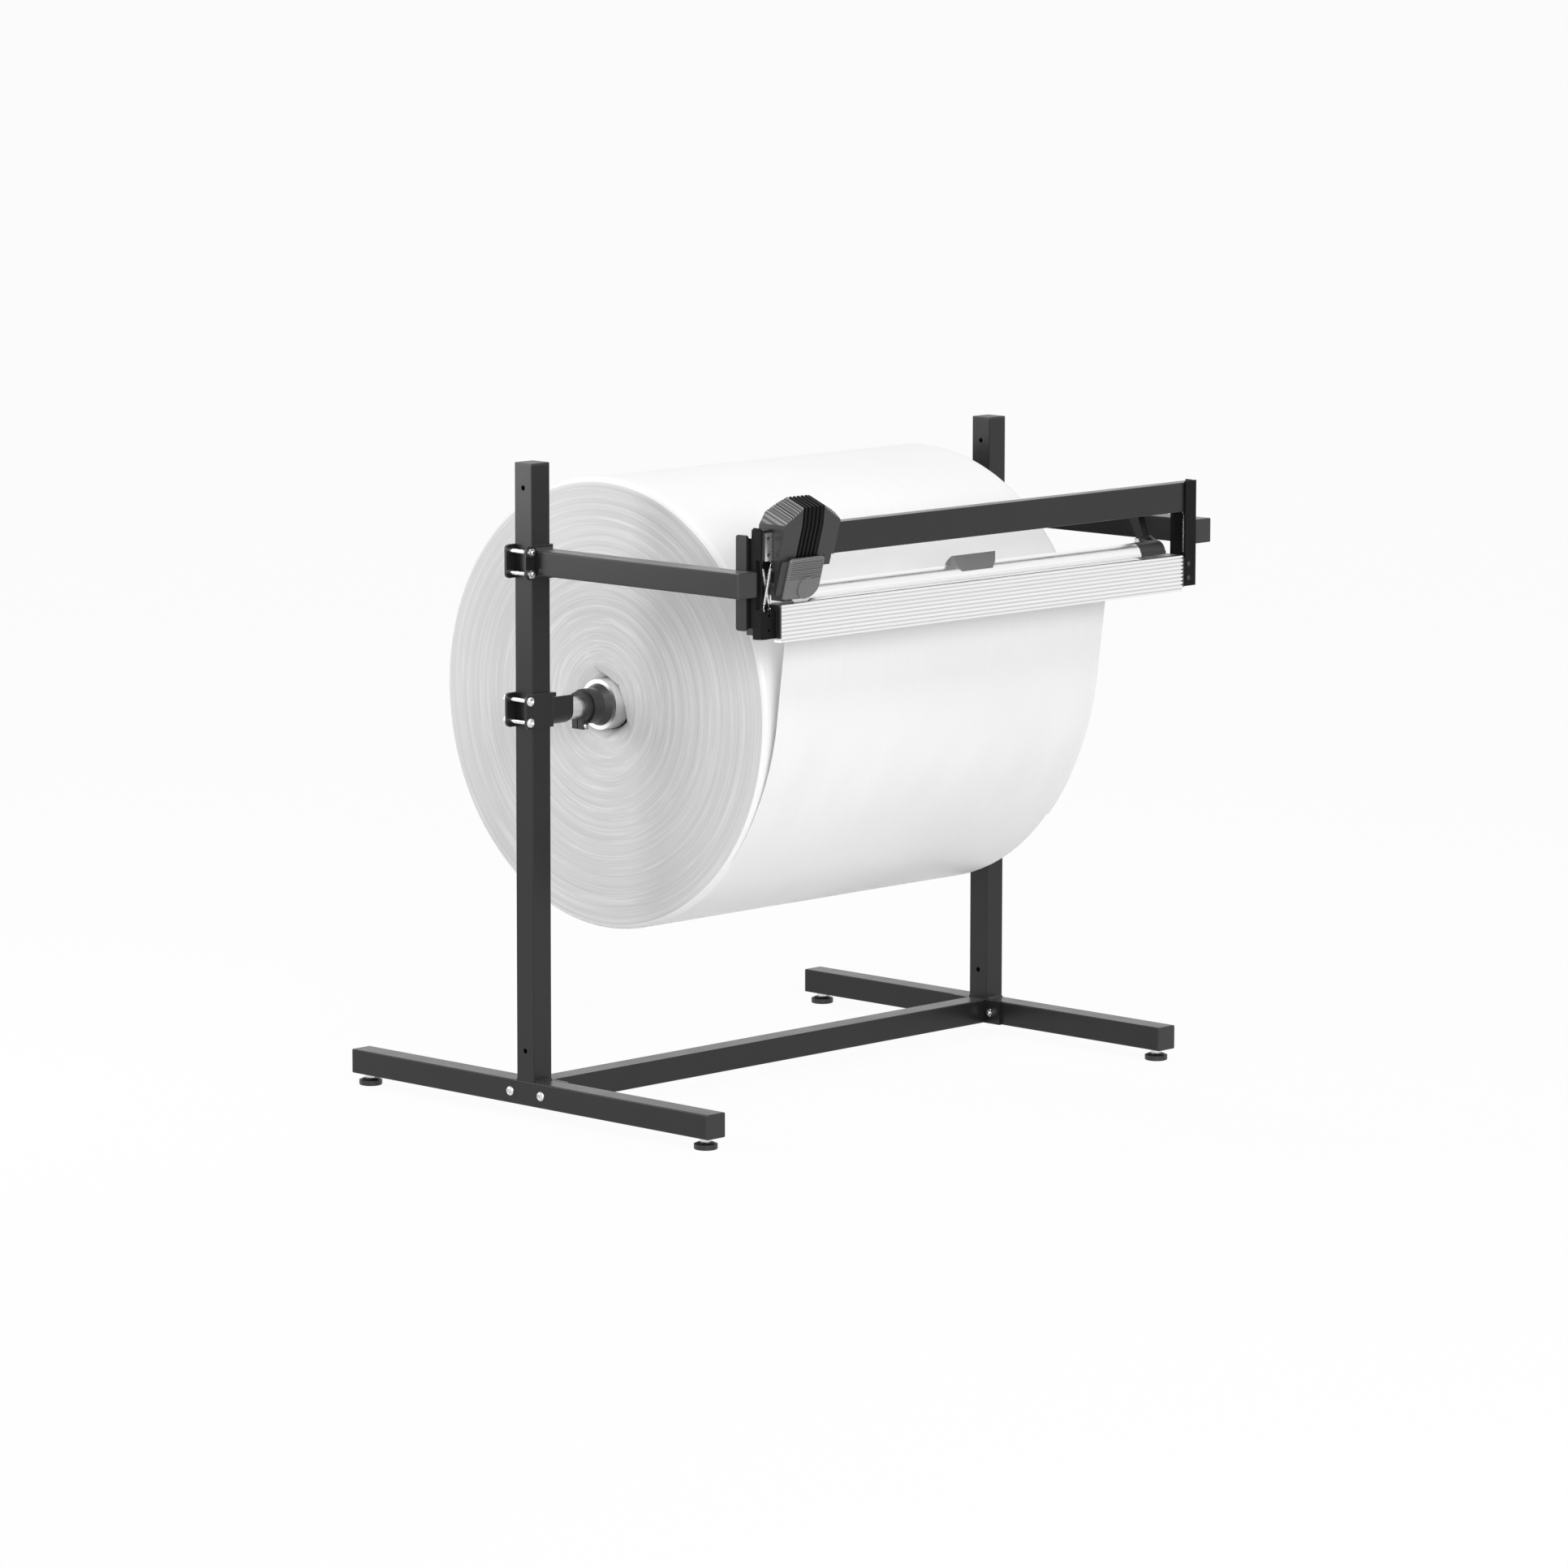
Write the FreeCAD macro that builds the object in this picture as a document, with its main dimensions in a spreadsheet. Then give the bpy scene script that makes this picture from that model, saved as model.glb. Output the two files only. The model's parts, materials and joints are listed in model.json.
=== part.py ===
import FreeCAD
import Part
import Sketcher
import math
import os

# Floor-standing film roll cutting stand, millimetres, +Z up, +X along the cutting rail, -Y to the user.
# The origin is on the floor, in the middle of the whole object's length and depth.

Vector = FreeCAD.Vector

SIZES = {
    # square tube and its plugs
    "tube_side": 42.0,
    "tube_wall": 2.0,
    "tube_corner": 2.2,
    "cap_thick": 4.0,
    "cap_round": 1.6,
    "plug_depth": 12.0,
    "plug_slack": 0.15,
    # stand
    "upright_pitch": 1130.0,
    "upright_over": 162.0,
    "top_hole_drop": 38.0,
    "low_hole_rise": 114.0,
    "side_hole_radius": 4.5,
    "weld_leg": 4.0,
    "foot_bar_length": 858.0,
    "flange_thick": 5.0,
    "flange_margin": 20.0,
    "flange_bolt_pitch": 74.0,
    # levelling feet
    "ground_gap": 20.0,
    "foot_radius": 20.0,
    "foot_pad_height": 12.0,
    "foot_inset": 21.0,
    "foot_nut_radius": 9.4,
    "foot_edge_round": 2.0,
    "foot_shoulder": 3.0,
    "foot_crown_radius": 13.0,
    "stud_radius": 5.0,
    "stud_rise": 12.0,
    # fasteners
    "bolt_radius": 4.0,
    "bolt_head_radius": 8.5,
    "bolt_head_height": 5.0,
    "bolt_end": 3.0,
    "nut_radius": 7.5,
    "nut_height": 6.5,
    "screw_radius": 2.5,
    "screw_head_radius": 4.5,
    "screw_head_height": 2.5,
    "bore_slack": 0.1,
    # clamps round the uprights
    "clamp_wall": 5.0,
    "clamp_ear": 19.0,
    "clamp_ear_round": 8.0,
    "clamp_bolt_out": 10.0,
    "clamp_bolt_pitch": 36.0,
    "arm_clamp_height": 57.0,
    "arm_level": 946.0,
    "arm_reach": 501.0,
    "cradle_clamp_height": 58.0,
    "cradle_clamp_lift": 7.0,
    # shaft and its cradles
    "axle_drop": 258.0,
    "shaft_radius": 19.0,
    "shaft_wall": 2.0,
    "shaft_end_gap": 4.0,
    "cradle_slack": 0.3,
    "cradle_wall": 3.0,
    "cradle_length": 47.0,
    "cradle_lip_rise": 27.0,
    "cradle_end_round": 12.0,
    # chucks and film
    "chuck_length": 50.0,
    "collar_width": 13.0,
    "collar_wall": 7.0,
    "hub_wall": 11.0,
    "hub_taper_wall": 17.0,
    "collar_ear": 11.0,
    "collar_ear_half": 13.0,
    "collar_slit": 2.0,
    "disc_stand": 9.0,
    "disc_thick": 5.0,
    "disc_radius": 43.0,
    "core_plug_depth": 26.0,
    "roll_end_clear": 163.0,
    "roll_front_clear": 115.0,
    "core_slack": 0.3,
    "mouth_flare": 7.7,
    "roll_mouth_depth": 8.0,
    "roll_shell": 3.0,
    "roll_ring_depth": 1.5,
    "web_edge": 4.0,
    "web_thick": 2.0,
    "web_gap": 0.4,
    "web_leave_angle": 39.0,
    "web_start_angle": 28.0,
    "web_lean": 7.7,
    "web_rail_gap": 0.2,
    "web_end_gap": 0.6,
    # end brackets and housings
    "bracket_thick": 5.5,
    "bracket_foot": 12.5,
    "bracket_head": 13.0,
    "bracket_depth": 24.0,
    "bracket_behind": 27.5,
    "plate_thick": 4.0,
    "housing_rise": 7.0,
    "housing_crown": 3.0,
    "housing_depth": 18.0,
    "housing_round": 6.0,
    "block_drop": 10.0,
    "block_width": 31.5,
    "housing_slot_width": 9.0,
    "flange_reach": 27.5,
    "slot_margin": 4.0,
    "slot_over": 1.5,
    # guide beam
    "beam_ahead": 7.0,
    "beam_depth": 25.0,
    "beam_clear": 74.0,
    "beam_height": 51.0,
    "beam_wall": 2.0,
    "stop_plate_width": 16.5,
    "stop_plate_thick": 2.0,
    "stop_plate_short": 5.0,
    "stop_plate_inset": 4.5,
    "stop_hole_radius": 3.6,
    "stop_hole_pitch": 27.0,
    # cutting rail
    "rail_ahead": 9.0,
    "rail_depth": 79.0,
    "rail_height": 62.0,
    "rail_drop": 36.5,
    "rail_skin": 3.5,
    "rail_table": 3.0,
    "rail_rib_depth": 1.8,
    "rail_rear_drop": 14.0,
    "rail_rear_round": 9.0,
    "rail_front_round": 2.0,
    "rail_boss_side": 3.0,
    "rail_boss_depth": 9.0,
    "rail_groove_share": 0.4,
    "rail_cap_round": 7.0,
    "rail_foot": 17.0,
    "groove_back": 2.0,
    "groove_width": 3.0,
    "groove_depth": 6.0,
    "rail_cap_thick": 4.0,
    # hold-down bar
    "bar_end_clear": 86.0,
    "bar_behind": 9.0,
    "bar_depth": 25.0,
    "bar_lift_gap": 2.5,
    "bar_height": 23.0,
    "bar_lip": 6.0,
    "bar_step": 1.5,
    "bar_round": 20.0,
    "bar_back_round": 5.0,
    "bar_brow_back": 3.7,
    "bar_brow_rise": 12.5,
    "bar_wall": 2.2,
    "grip_top_width": 110.0,
    "grip_low_width": 70.0,
    "grip_back_width": 120.0,
    "grip_ridge_ahead": 11.0,
    "grip_ridge_rise": 15.5,
    "grip_ridge_round": 1.6,
    "grip_back_step": 1.0,
    "grip_front_round": 40.0,
    "grip_brow_step": 1.2,
    "end_fitting_width": 64.0,
    "fork_width": 34.0,
    "fork_gap": 0.5,
    "fork_slot_depth": 14.0,
    "pivot_back": 10.0,
    "pivot_drop": 1.5,
    "pivot_radius": 4.0,
    "pivot_eye_radius": 8.0,
    "pivot_slack": 0.05,
    "hanger_thick": 16.0,
    "hanger_foot_rise": 4.0,
    "hanger_foot_height": 14.0,
    "hanger_back": 27.2,
    "hanger_back_rise": 34.0,
    "hanger_back_height": 12.0,
    "hanger_neck_back": 10.0,
    "hanger_neck_rise": 48.0,
    "hanger_half_strip": 6.0,
    # knife
    "head_overhang": 33.9,
    "head_width": 130.0,
    "head_top_width": 50.0,
    "head_park": 22.0,
    "head_crown": 50.0,
    "head_shoulder_drop": 26.0,
    "head_roof_angle": 21.5,
    "head_roof_depth": 38.0,
    "head_fold_drop": 44.0,
    "head_fold_step": 3.3,
    "head_chin_rise": 1.0,
    "head_tip_drop": 18.0,
    "head_front_slope": 0.2787,
    "head_back_behind": 18.0,
    "head_back_drop": 26.0,
    "head_nape_drop": 45.0,
    "head_rear_lip": 4.2,
    "head_rear_drop": 20.0,
    "head_slack": 0.4,
    "head_tab_rise": 3.0,
    "head_tab_out": 5.5,
    "head_tab_width": 16.0,
    "head_rib_depth": 1.2,
    "head_rib_width": 2.2,
    "band_base": 1.0,
    "band_thick": 3.4,
    "band_rib_width": 5.2,
    "band_rib_pitch": 9.2,
    "holder_rise": 9.0,
    "holder_clear": 2.0,
    "holder_inset": 6.0,
    "holder_outset": 16.0,
    "blade_shift": 3.5,
    "blade_dip": 4.0,
    "blade_radius": 30.0,
    "blade_thick": 0.8,
    "blade_bore_slack": 0.05,
    "axle_radius": 4.0,
    "axle_flange": 7.0,
    "axle_flange_thick": 0.7,
    "axle_seat_depth": 3.0,
    "cover_width": 82.0,
    "cover_height": 71.5,
    "cover_thick": 4.0,
    "cover_rise": 7.0,
    "cover_stand": 1.3,
    "cover_tilt": 15.4,
    "cover_big_round": 24.0,
    "cover_small_round": 6.0,
    "cover_brow": 2.0,
    "cover_boss_radius": 19.0,
    "cover_boss_height": 2.2,
    "cover_shift": 3.5,
    "cover_line_pitch": 4.0,
    "cover_line_depth": 0.9,
    "cover_line_width": 1.4,
    # springs
    "spring_wire": 1.7,
    "spring_radius": 3.2,
    "spring_eye_radius": 2.4,
    "spring_neck_radius": 1.0,
    "spring_inset": 5.0,
    "spring_shift": 3.4,
    "spring_lean": 13.5,
    "spring_coil_share": 0.72,
    # cutting tools running over, and how closely two places agree
    "overrun": 2.0,
    "match": 0.01,
}


# Sizes and places that follow from the driving ones, as the sheet's own formulas

PLACES = {
    "axle_level": "arm_level - axle_drop",
    "upright_top": "arm_level + upright_over",
    "rail_top": "arm_level - rail_drop",
    "rail_low": "rail_top - rail_height",
    "beam_low": "rail_top + beam_clear",
    "beam_top": "beam_low + beam_height",
    "beam_front_reach": "arm_reach + beam_ahead",
    "beam_rear_reach": "beam_front_reach - beam_depth",
    "upright_x": "upright_pitch / 2",
    "arm_inner_x": "upright_x - tube_side / 2",
    "clamp_inner_x": "arm_inner_x - clamp_wall",
    "bracket_x": "arm_inner_x - bracket_thick",
    "housing_inner_x": "bracket_x - plate_thick",
    "block_inner_x": "housing_inner_x - block_width",
    "rail_half_length": "block_inner_x - rail_cap_thick",
    "flange_width": "flange_bolt_pitch + flange_margin * 2",
    "collar_radius": "shaft_radius + collar_wall",
    "hub_radius": "shaft_radius + hub_wall",
    "hub_taper_radius": "shaft_radius + hub_taper_wall",
    "collar_ear_drop": "collar_radius + collar_ear",
    "roll_half_width": "upright_x - roll_end_clear",
    "roll_radius": "arm_reach - roll_front_clear",
    "roll_bore_radius": "disc_radius + core_slack",
    "roll_mouth_radius": "roll_bore_radius + mouth_flare",
    "disc_reach": "roll_half_width + disc_stand",
    "collar_reach": "disc_reach + chuck_length",
    "rail_front_reach": "beam_front_reach + rail_ahead",
    "rail_rear_reach": "rail_front_reach - rail_depth",
    "rail_rib_pitch": "rail_height * 0.1065",
    "rail_cap_depth": "rail_depth - rail_table",
    "groove_rear_reach": "beam_front_reach - groove_back",
    "web_half_width": "roll_half_width - web_edge",
    "housing_front_reach": "beam_front_reach",
    "housing_rear_reach": "housing_front_reach - housing_depth",
    "housing_low": "rail_low + housing_rise",
    "housing_top": "beam_top + housing_crown",
    "housing_block_top": "rail_top - block_drop",
    "housing_slot_low": "housing_block_top + slot_margin",
    "housing_slot_top": "beam_low + slot_over",
    "bracket_low": "housing_low + bracket_foot",
    "bracket_top": "housing_top - bracket_head",
    "bracket_front_reach": "housing_front_reach - bracket_behind",
    "bracket_rear_reach": "bracket_front_reach - bracket_depth",
    "stop_plate_height": "beam_height - stop_plate_short",
    "bar_half_length": "rail_half_length - bar_end_clear",
    "bar_front_reach": "groove_rear_reach - bar_behind",
    "bar_rear_reach": "bar_front_reach - bar_depth",
    "bar_crest_reach": "bar_rear_reach + bar_back_round",
    "bar_brow_reach": "bar_front_reach - bar_brow_back",
    "bar_low": "rail_top + bar_lift_gap",
    "bar_top": "bar_low + bar_height",
    "grip_ridge_reach": "bar_rear_reach + grip_ridge_ahead",
    "pivot_reach": "bar_rear_reach - pivot_back",
    "pivot_level": "bar_top - pivot_drop",
    "hanger_foot_low": "beam_low + hanger_foot_rise",
    "hanger_foot_high": "hanger_foot_low + hanger_foot_height",
    "hanger_back_reach": "pivot_reach - hanger_back",
    "hanger_back_low": "pivot_level + hanger_back_rise",
    "hanger_back_high": "hanger_back_low + hanger_back_height",
    "hanger_neck_reach": "pivot_reach - hanger_neck_back",
    "hanger_neck_level": "pivot_level + hanger_neck_rise",
    "head_reach": "beam_front_reach + head_overhang",
    "head_roof_fall": "head_roof_depth * tan(head_roof_angle * 1 deg)",
    "head_centre": "housing_inner_x - head_park - head_width / 2",
    "head_top": "beam_top + head_crown",
    "head_fold_level": "head_top - head_fold_drop",
    "head_chin_level": "beam_low + head_chin_rise",
    "head_chin_step": "head_fold_step + (head_fold_level - head_chin_level) * head_front_slope",
    "head_tip_level": "beam_low - head_tip_drop",
    "head_tip_step": "head_fold_step + (head_fold_level - head_tip_level) * head_front_slope",
    "head_back_reach": "beam_front_reach - head_back_behind",
    "head_tab_low": "head_tip_level + head_tab_rise",
    "blade_centre": "head_centre - blade_shift",
    "blade_level": "rail_top + blade_radius - blade_dip",
    "blade_reach": "groove_rear_reach + groove_width / 2",
    "cover_low": "rail_top + cover_rise",
    "cover_reach": "beam_front_reach + cover_stand",
    "holder_low": "cover_low + holder_rise",
    "holder_top": "beam_low - holder_clear",
    "upright_y": "(head_reach - foot_bar_length / 2 - cap_thick) / 2",
}


class Measure:
    """A length that carries its formula in the sheet's names beside its present value."""

    def __init__(self, text, value):
        self.text = text
        self.value = value

    @staticmethod
    def of(other):
        return other if isinstance(other, Measure) else Measure(repr(float(other)), float(other))

    def join(self, other, sign, value):
        return Measure(f"({self.text} {sign} {Measure.of(other).text})", value)

    def __add__(self, other):
        return self.join(other, "+", self.value + Measure.of(other).value)

    def __sub__(self, other):
        return self.join(other, "-", self.value - Measure.of(other).value)

    def __mul__(self, other):
        return self.join(other, "*", self.value * Measure.of(other).value)

    def __truediv__(self, other):
        return self.join(other, "/", self.value / Measure.of(other).value)

    def __radd__(self, other):
        return Measure.of(other) + self

    def __rsub__(self, other):
        return Measure.of(other) - self

    def __rmul__(self, other):
        return Measure.of(other) * self

    def __neg__(self):
        return Measure.of(0) - self


class Sheet:
    """Every driving size as an attribute, each a Measure bound to its cell."""


doc = FreeCAD.newDocument("film_cutting_stand")
cells = doc.addObject("Spreadsheet::Sheet", "dim")
S = Sheet()
rows = list(SIZES.items()) + [(alias, "=" + formula) for alias, formula in PLACES.items()]
for row, (alias, content) in enumerate(rows, start=1):
    cells.set(f"A{row}", alias.replace("_", " "))
    cells.set(f"B{row}", str(content))
    cells.setAlias(f"B{row}", alias)
doc.recompute()
for alias, content in rows:
    setattr(S, alias, Measure("dim." + alias, float(cells.get(alias))))

made = []
ZERO = Measure.of(0)


# Places that several pieces share

BAR_TOP = S.ground_gap + S.tube_side
FITTING_MID_X = S.bar_half_length + S.end_fitting_width / 2


def forward(reach):
    """Y of a place that lies so far in front of the uprights."""
    return S.upright_y - reach


SIDES = (("left", -1), ("right", 1))


def sine(angle):
    return Measure(f"sin({angle.text} * 1 deg)", math.sin(math.radians(angle.value)))


def cosine(angle):
    return Measure(f"cos({angle.text} * 1 deg)", math.cos(math.radians(angle.value)))


# Modelling helpers


def bind(item, name, size):
    item.setExpression(name, Measure.of(size).text)


def place(item, x=ZERO, y=ZERO, z=ZERO, turn=None):
    """Set a piece down at a bound position, turned about one axis where asked."""
    if turn:
        item.Placement.Rotation = FreeCAD.Rotation(*turn)
    for axis, size in zip("xyz", (x, y, z)):
        bind(item, f".Placement.Base.{axis}", size)
    return item


def new_body(label, alone=True):
    """A body, listed as a piece of its own unless it is gathered into a group later."""
    body = doc.addObject("PartDesign::Body", label)
    body.Label = label
    if alone:
        made.append(body)
    return body


def new_sketch(body, role, offset=None):
    """A sketch on one of the body's own planes, moved along its normal where asked."""
    sketch = body.newObject("Sketcher::SketchObject", "outline")
    plane = [item for item in body.Origin.OriginFeatures if item.Role == role][0]
    sketch.AttachmentSupport = [(plane, "")]
    sketch.MapMode = "FlatFace"
    if offset is not None:
        bind(sketch, ".AttachmentOffset.Base.z", offset)
    return sketch


def locate(sketch, geometry, end, x, y):
    """Tie a point to its bound place from the sketch's origin."""
    for kind, size in (("DistanceX", Measure.of(x)), ("DistanceY", Measure.of(y))):
        row = sketch.addConstraint(Sketcher.Constraint(kind, -1, 1, geometry, end, size.value))
        sketch.setExpression(f"Constraints[{row}]", size.text)


def arc_centre(start, end, radius, turn):
    """Centre of the short arc between two points that turns left for +1 and right for -1."""
    chord = end - start
    half = chord.Length / 2
    rise = math.sqrt(max(radius * radius - half * half, 0.0))
    side = Vector(-chord.y, chord.x, 0).normalize()
    return start + chord * 0.5 + side * rise * turn


def draw(sketch, points):
    """A closed outline. A point is (x, y), or (x, y, radius, turn) where an arc leads up to it."""
    first = sketch.GeometryCount
    spots = [Vector(Measure.of(p[0]).value, Measure.of(p[1]).value, 0) for p in points]
    count = len(points)
    ends = []
    for index in range(count):
        target = points[(index + 1) % count]
        start = spots[index]
        end = spots[(index + 1) % count]
        if len(target) == 2:
            sketch.addGeometry(Part.LineSegment(start, end), False)
            ends.append((1, 2))
            continue
        radius = Measure.of(target[2]).value
        centre = arc_centre(start, end, radius, target[3])
        low, high = (start, end) if target[3] > 0 else (end, start)
        circle = Part.Circle(centre, Vector(0, 0, 1), radius)
        angles = [math.atan2(p.y - centre.y, p.x - centre.x) for p in (low, high)]
        sketch.addGeometry(Part.ArcOfCircle(circle, *angles), False)
        ends.append((1, 2) if target[3] > 0 else (2, 1))
    for index in range(count):
        follower = (index + 1) % count
        joint = (first + index, ends[index][1], first + follower, ends[follower][0])
        sketch.addConstraint(Sketcher.Constraint("Coincident", *joint))
    for index, point in enumerate(points):
        locate(sketch, first + index, ends[index][0], point[0], point[1])
        if len(point) > 2:
            owner = first + (index - 1) % count
            size = Measure.of(point[2])
            row = sketch.addConstraint(Sketcher.Constraint("Radius", owner, size.value))
            sketch.setExpression(f"Constraints[{row}]", size.text)
    return sketch


def draw_circle(sketch, x, y, radius):
    spot = Vector(Measure.of(x).value, Measure.of(y).value, 0)
    size = Measure.of(radius)
    index = sketch.addGeometry(Part.Circle(spot, Vector(0, 0, 1), size.value), False)
    locate(sketch, index, 3, x, y)
    row = sketch.addConstraint(Sketcher.Constraint("Radius", index, size.value))
    sketch.setExpression(f"Constraints[{row}]", size.text)
    return sketch


def rectangle(low_x, low_y, high_x, high_y):
    return [(low_x, low_y), (high_x, low_y), (high_x, high_y), (low_x, high_y)]


def square(side_x, side_y):
    return rectangle(-side_x / 2, -side_y / 2, side_x / 2, side_y / 2)


def pad(body, sketch, length, symmetric=False, back=False):
    feature = body.newObject("PartDesign::Pad", "pad")
    feature.Profile = sketch
    bind(feature, "Length", length)
    feature.SideType = "Symmetric" if symmetric else "One side"
    feature.Reversed = back
    doc.recompute()
    return feature


def pocket(body, sketch, length=None, symmetric=True, back=False):
    """Cut an outline through the whole piece, or so deep, and insist that it took something away."""
    before = body.Tip.Shape.Volume
    feature = body.newObject("PartDesign::Pocket", "pocket")
    feature.Profile = sketch
    feature.SideType = "Symmetric" if symmetric else "One side"
    feature.Reversed = back
    if length is None:
        feature.Type = "ThroughAll"
    else:
        bind(feature, "Length", length)
    doc.recompute()
    if feature.Shape.Volume >= before:
        raise RuntimeError(f"{body.Label}: a cut missed the piece")
    return feature


def revolve(body, sketch, axis="H_Axis"):
    feature = body.newObject("PartDesign::Revolution", "turning")
    feature.Profile = sketch
    feature.ReferenceAxis = (sketch, [axis])
    feature.Angle = 360
    doc.recompute()
    return feature


def edges_where(shape, test):
    return [f"Edge{n}" for n, edge in enumerate(shape.Edges, start=1) if test(edge)]


def along(axis):
    """A test for straight edges that run along one axis."""
    unit = {"X": Vector(1, 0, 0), "Y": Vector(0, 1, 0), "Z": Vector(0, 0, 1)}[axis]

    def test(edge):
        if edge.Curve.TypeId != "Part::GeomLine":
            return False
        return abs(abs(edge.Curve.Direction.dot(unit)) - 1) < 1e-6

    return test


def near(first, second):
    return abs(first - second) < S.match.value


def soften(body, radius, test, kind="PartDesign::Fillet"):
    """Round or bevel the edges of the piece that pass the test."""
    base = body.Tip
    names = edges_where(base.Shape, test)
    if not names:
        raise RuntimeError(f"{body.Label}: no edge to soften")
    feature = body.newObject(kind, "softening")
    feature.Base = (base, names)
    bind(feature, "Radius" if kind.endswith("Fillet") else "Size", radius)
    doc.recompute()
    return feature


def pattern(body, feature, role, length, count):
    """Repeat a feature evenly along a line, from its own place."""
    rows = body.newObject("PartDesign::LinearPattern", "row")
    rows.Originals = [feature]
    line = [item for item in body.Origin.OriginFeatures if item.Role == role][0]
    rows.Direction = (line, [""])
    bind(rows, "Length", length)
    rows.Occurrences = int(count)
    body.Tip = rows
    doc.recompute()
    return rows


def primitive(kind, **sizes):
    item = doc.addObject("Part::" + kind, "shape")
    for name, size in sizes.items():
        bind(item, name, size)
    return item


AXIS_TURN = {
    "X": (Vector(0, 1, 0), 90),
    "Y": (Vector(1, 0, 0), -90),
    "Z": None,
    "-X": (Vector(0, 1, 0), -90),
    "-Y": (Vector(1, 0, 0), 90),
    "-Z": (Vector(1, 0, 0), 180),
}


def group(label, items):
    """Several separate solids of one kind, kept as one piece of the list."""
    fused = doc.addObject("Part::MultiFuse", label)
    fused.Label = label
    fused.Shapes = items
    doc.recompute()
    made.append(fused)
    return fused


def step_along(axis, spot, length):
    """A place moved along an axis by a bound length."""
    sign = -1 if axis.startswith("-") else 1
    moved = list(spot)
    moved["XYZ".index(axis[-1])] = moved["XYZ".index(axis[-1])] + length * sign
    return moved


def bolt(axis, spot, length, radius=S.bolt_radius, head=S.bolt_head_radius, crown=S.bolt_head_height):
    """A bolt whose head sits at the spot and whose shank runs along the axis from there."""
    shank = primitive("Cylinder", Radius=radius, Height=length)
    place(shank, *spot, turn=AXIS_TURN[axis])
    skirt = primitive("Cylinder", Radius=head, Height=crown / 2)
    place(skirt, *step_along(axis, spot, -crown / 2), turn=AXIS_TURN[axis])
    dome = primitive("Cone", Radius1=head * 0.6, Radius2=head, Height=crown / 2)
    place(dome, *step_along(axis, spot, -crown), turn=AXIS_TURN[axis])
    return [shank, skirt, dome]


def nut(axis, spot, bore, radius=S.nut_radius, height=S.nut_height):
    """A hexagon nut that stands on the spot, bored clear of its bolt."""
    blank = doc.addObject("Part::Prism", "shape")
    blank.Polygon = 6
    bind(blank, "Circumradius", radius)
    bind(blank, "Height", height)
    place(blank, *spot, turn=AXIS_TURN[axis])
    drill = primitive("Cylinder", Radius=bore + S.bore_slack, Height=height + S.overrun * 2)
    place(drill, *step_along(axis, spot, -S.overrun), turn=AXIS_TURN[axis])
    ring = doc.addObject("Part::Cut", "shape")
    ring.Base = blank
    ring.Tool = drill
    return ring




# The stand: square tube, plugged at every open end


def tube(label, plane, length, symmetric=False):
    """A square tube with rounded outer corners, padded along the plane's normal."""
    body = new_body(label)
    pad(body, draw(new_sketch(body, plane), square(S.tube_side, S.tube_side)), length, symmetric)
    run = {"XY_Plane": "Z", "XZ_Plane": "Y", "YZ_Plane": "X"}[plane]
    soften(body, S.tube_corner, along(run))
    inner = S.tube_side - S.tube_wall * 2
    pocket(body, draw(new_sketch(body, plane), square(inner, inner)))
    return body


def cap(x, y, z, turn=None):
    """A plastic end plug: a rounded plate on the tube's end and a plug inside it."""
    body = new_body("end_cap", alone=False)
    pad(body, draw(new_sketch(body, "XY_Plane"), square(S.tube_side, S.tube_side)), S.cap_thick)
    soften(body, S.tube_corner, along("Z"))
    soften(body, S.cap_round, lambda edge: edge.CenterOfMass.z > S.cap_thick.value * 0.99)
    inner = S.tube_side - (S.tube_wall + S.plug_slack) * 2
    plug = draw(new_sketch(body, "XY_Plane"), square(inner, inner))
    pad(body, plug, S.plug_depth, back=True)
    return place(body, x, y, z, turn)


def cross_bores(body, plane, spots, radius):
    sketch = new_sketch(body, plane)
    for x, y in spots:
        draw_circle(sketch, x, y, radius)
    pocket(body, sketch)


def weld(body, plane, start, width, mirror=True):
    """A bevelled bead on both sides of a tube where it meets the piece it stands on."""
    sketch = new_sketch(body, plane)
    half = S.tube_side / 2
    for way in (-1, 1):
        draw(sketch, [(half * way, start), ((half + S.weld_leg) * way, start), (half * way, start + S.weld_leg)])
    pad(body, sketch, width, symmetric=True)


BOLT_BORE = S.bolt_radius + S.bore_slack
FOOT_Y = (S.upright_y - S.foot_bar_length / 2 + S.foot_inset, S.upright_y + S.foot_bar_length / 2 - S.foot_inset)
FLANGE_BOLT_Y = (-S.flange_bolt_pitch / 2, S.flange_bolt_pitch / 2)

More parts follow.
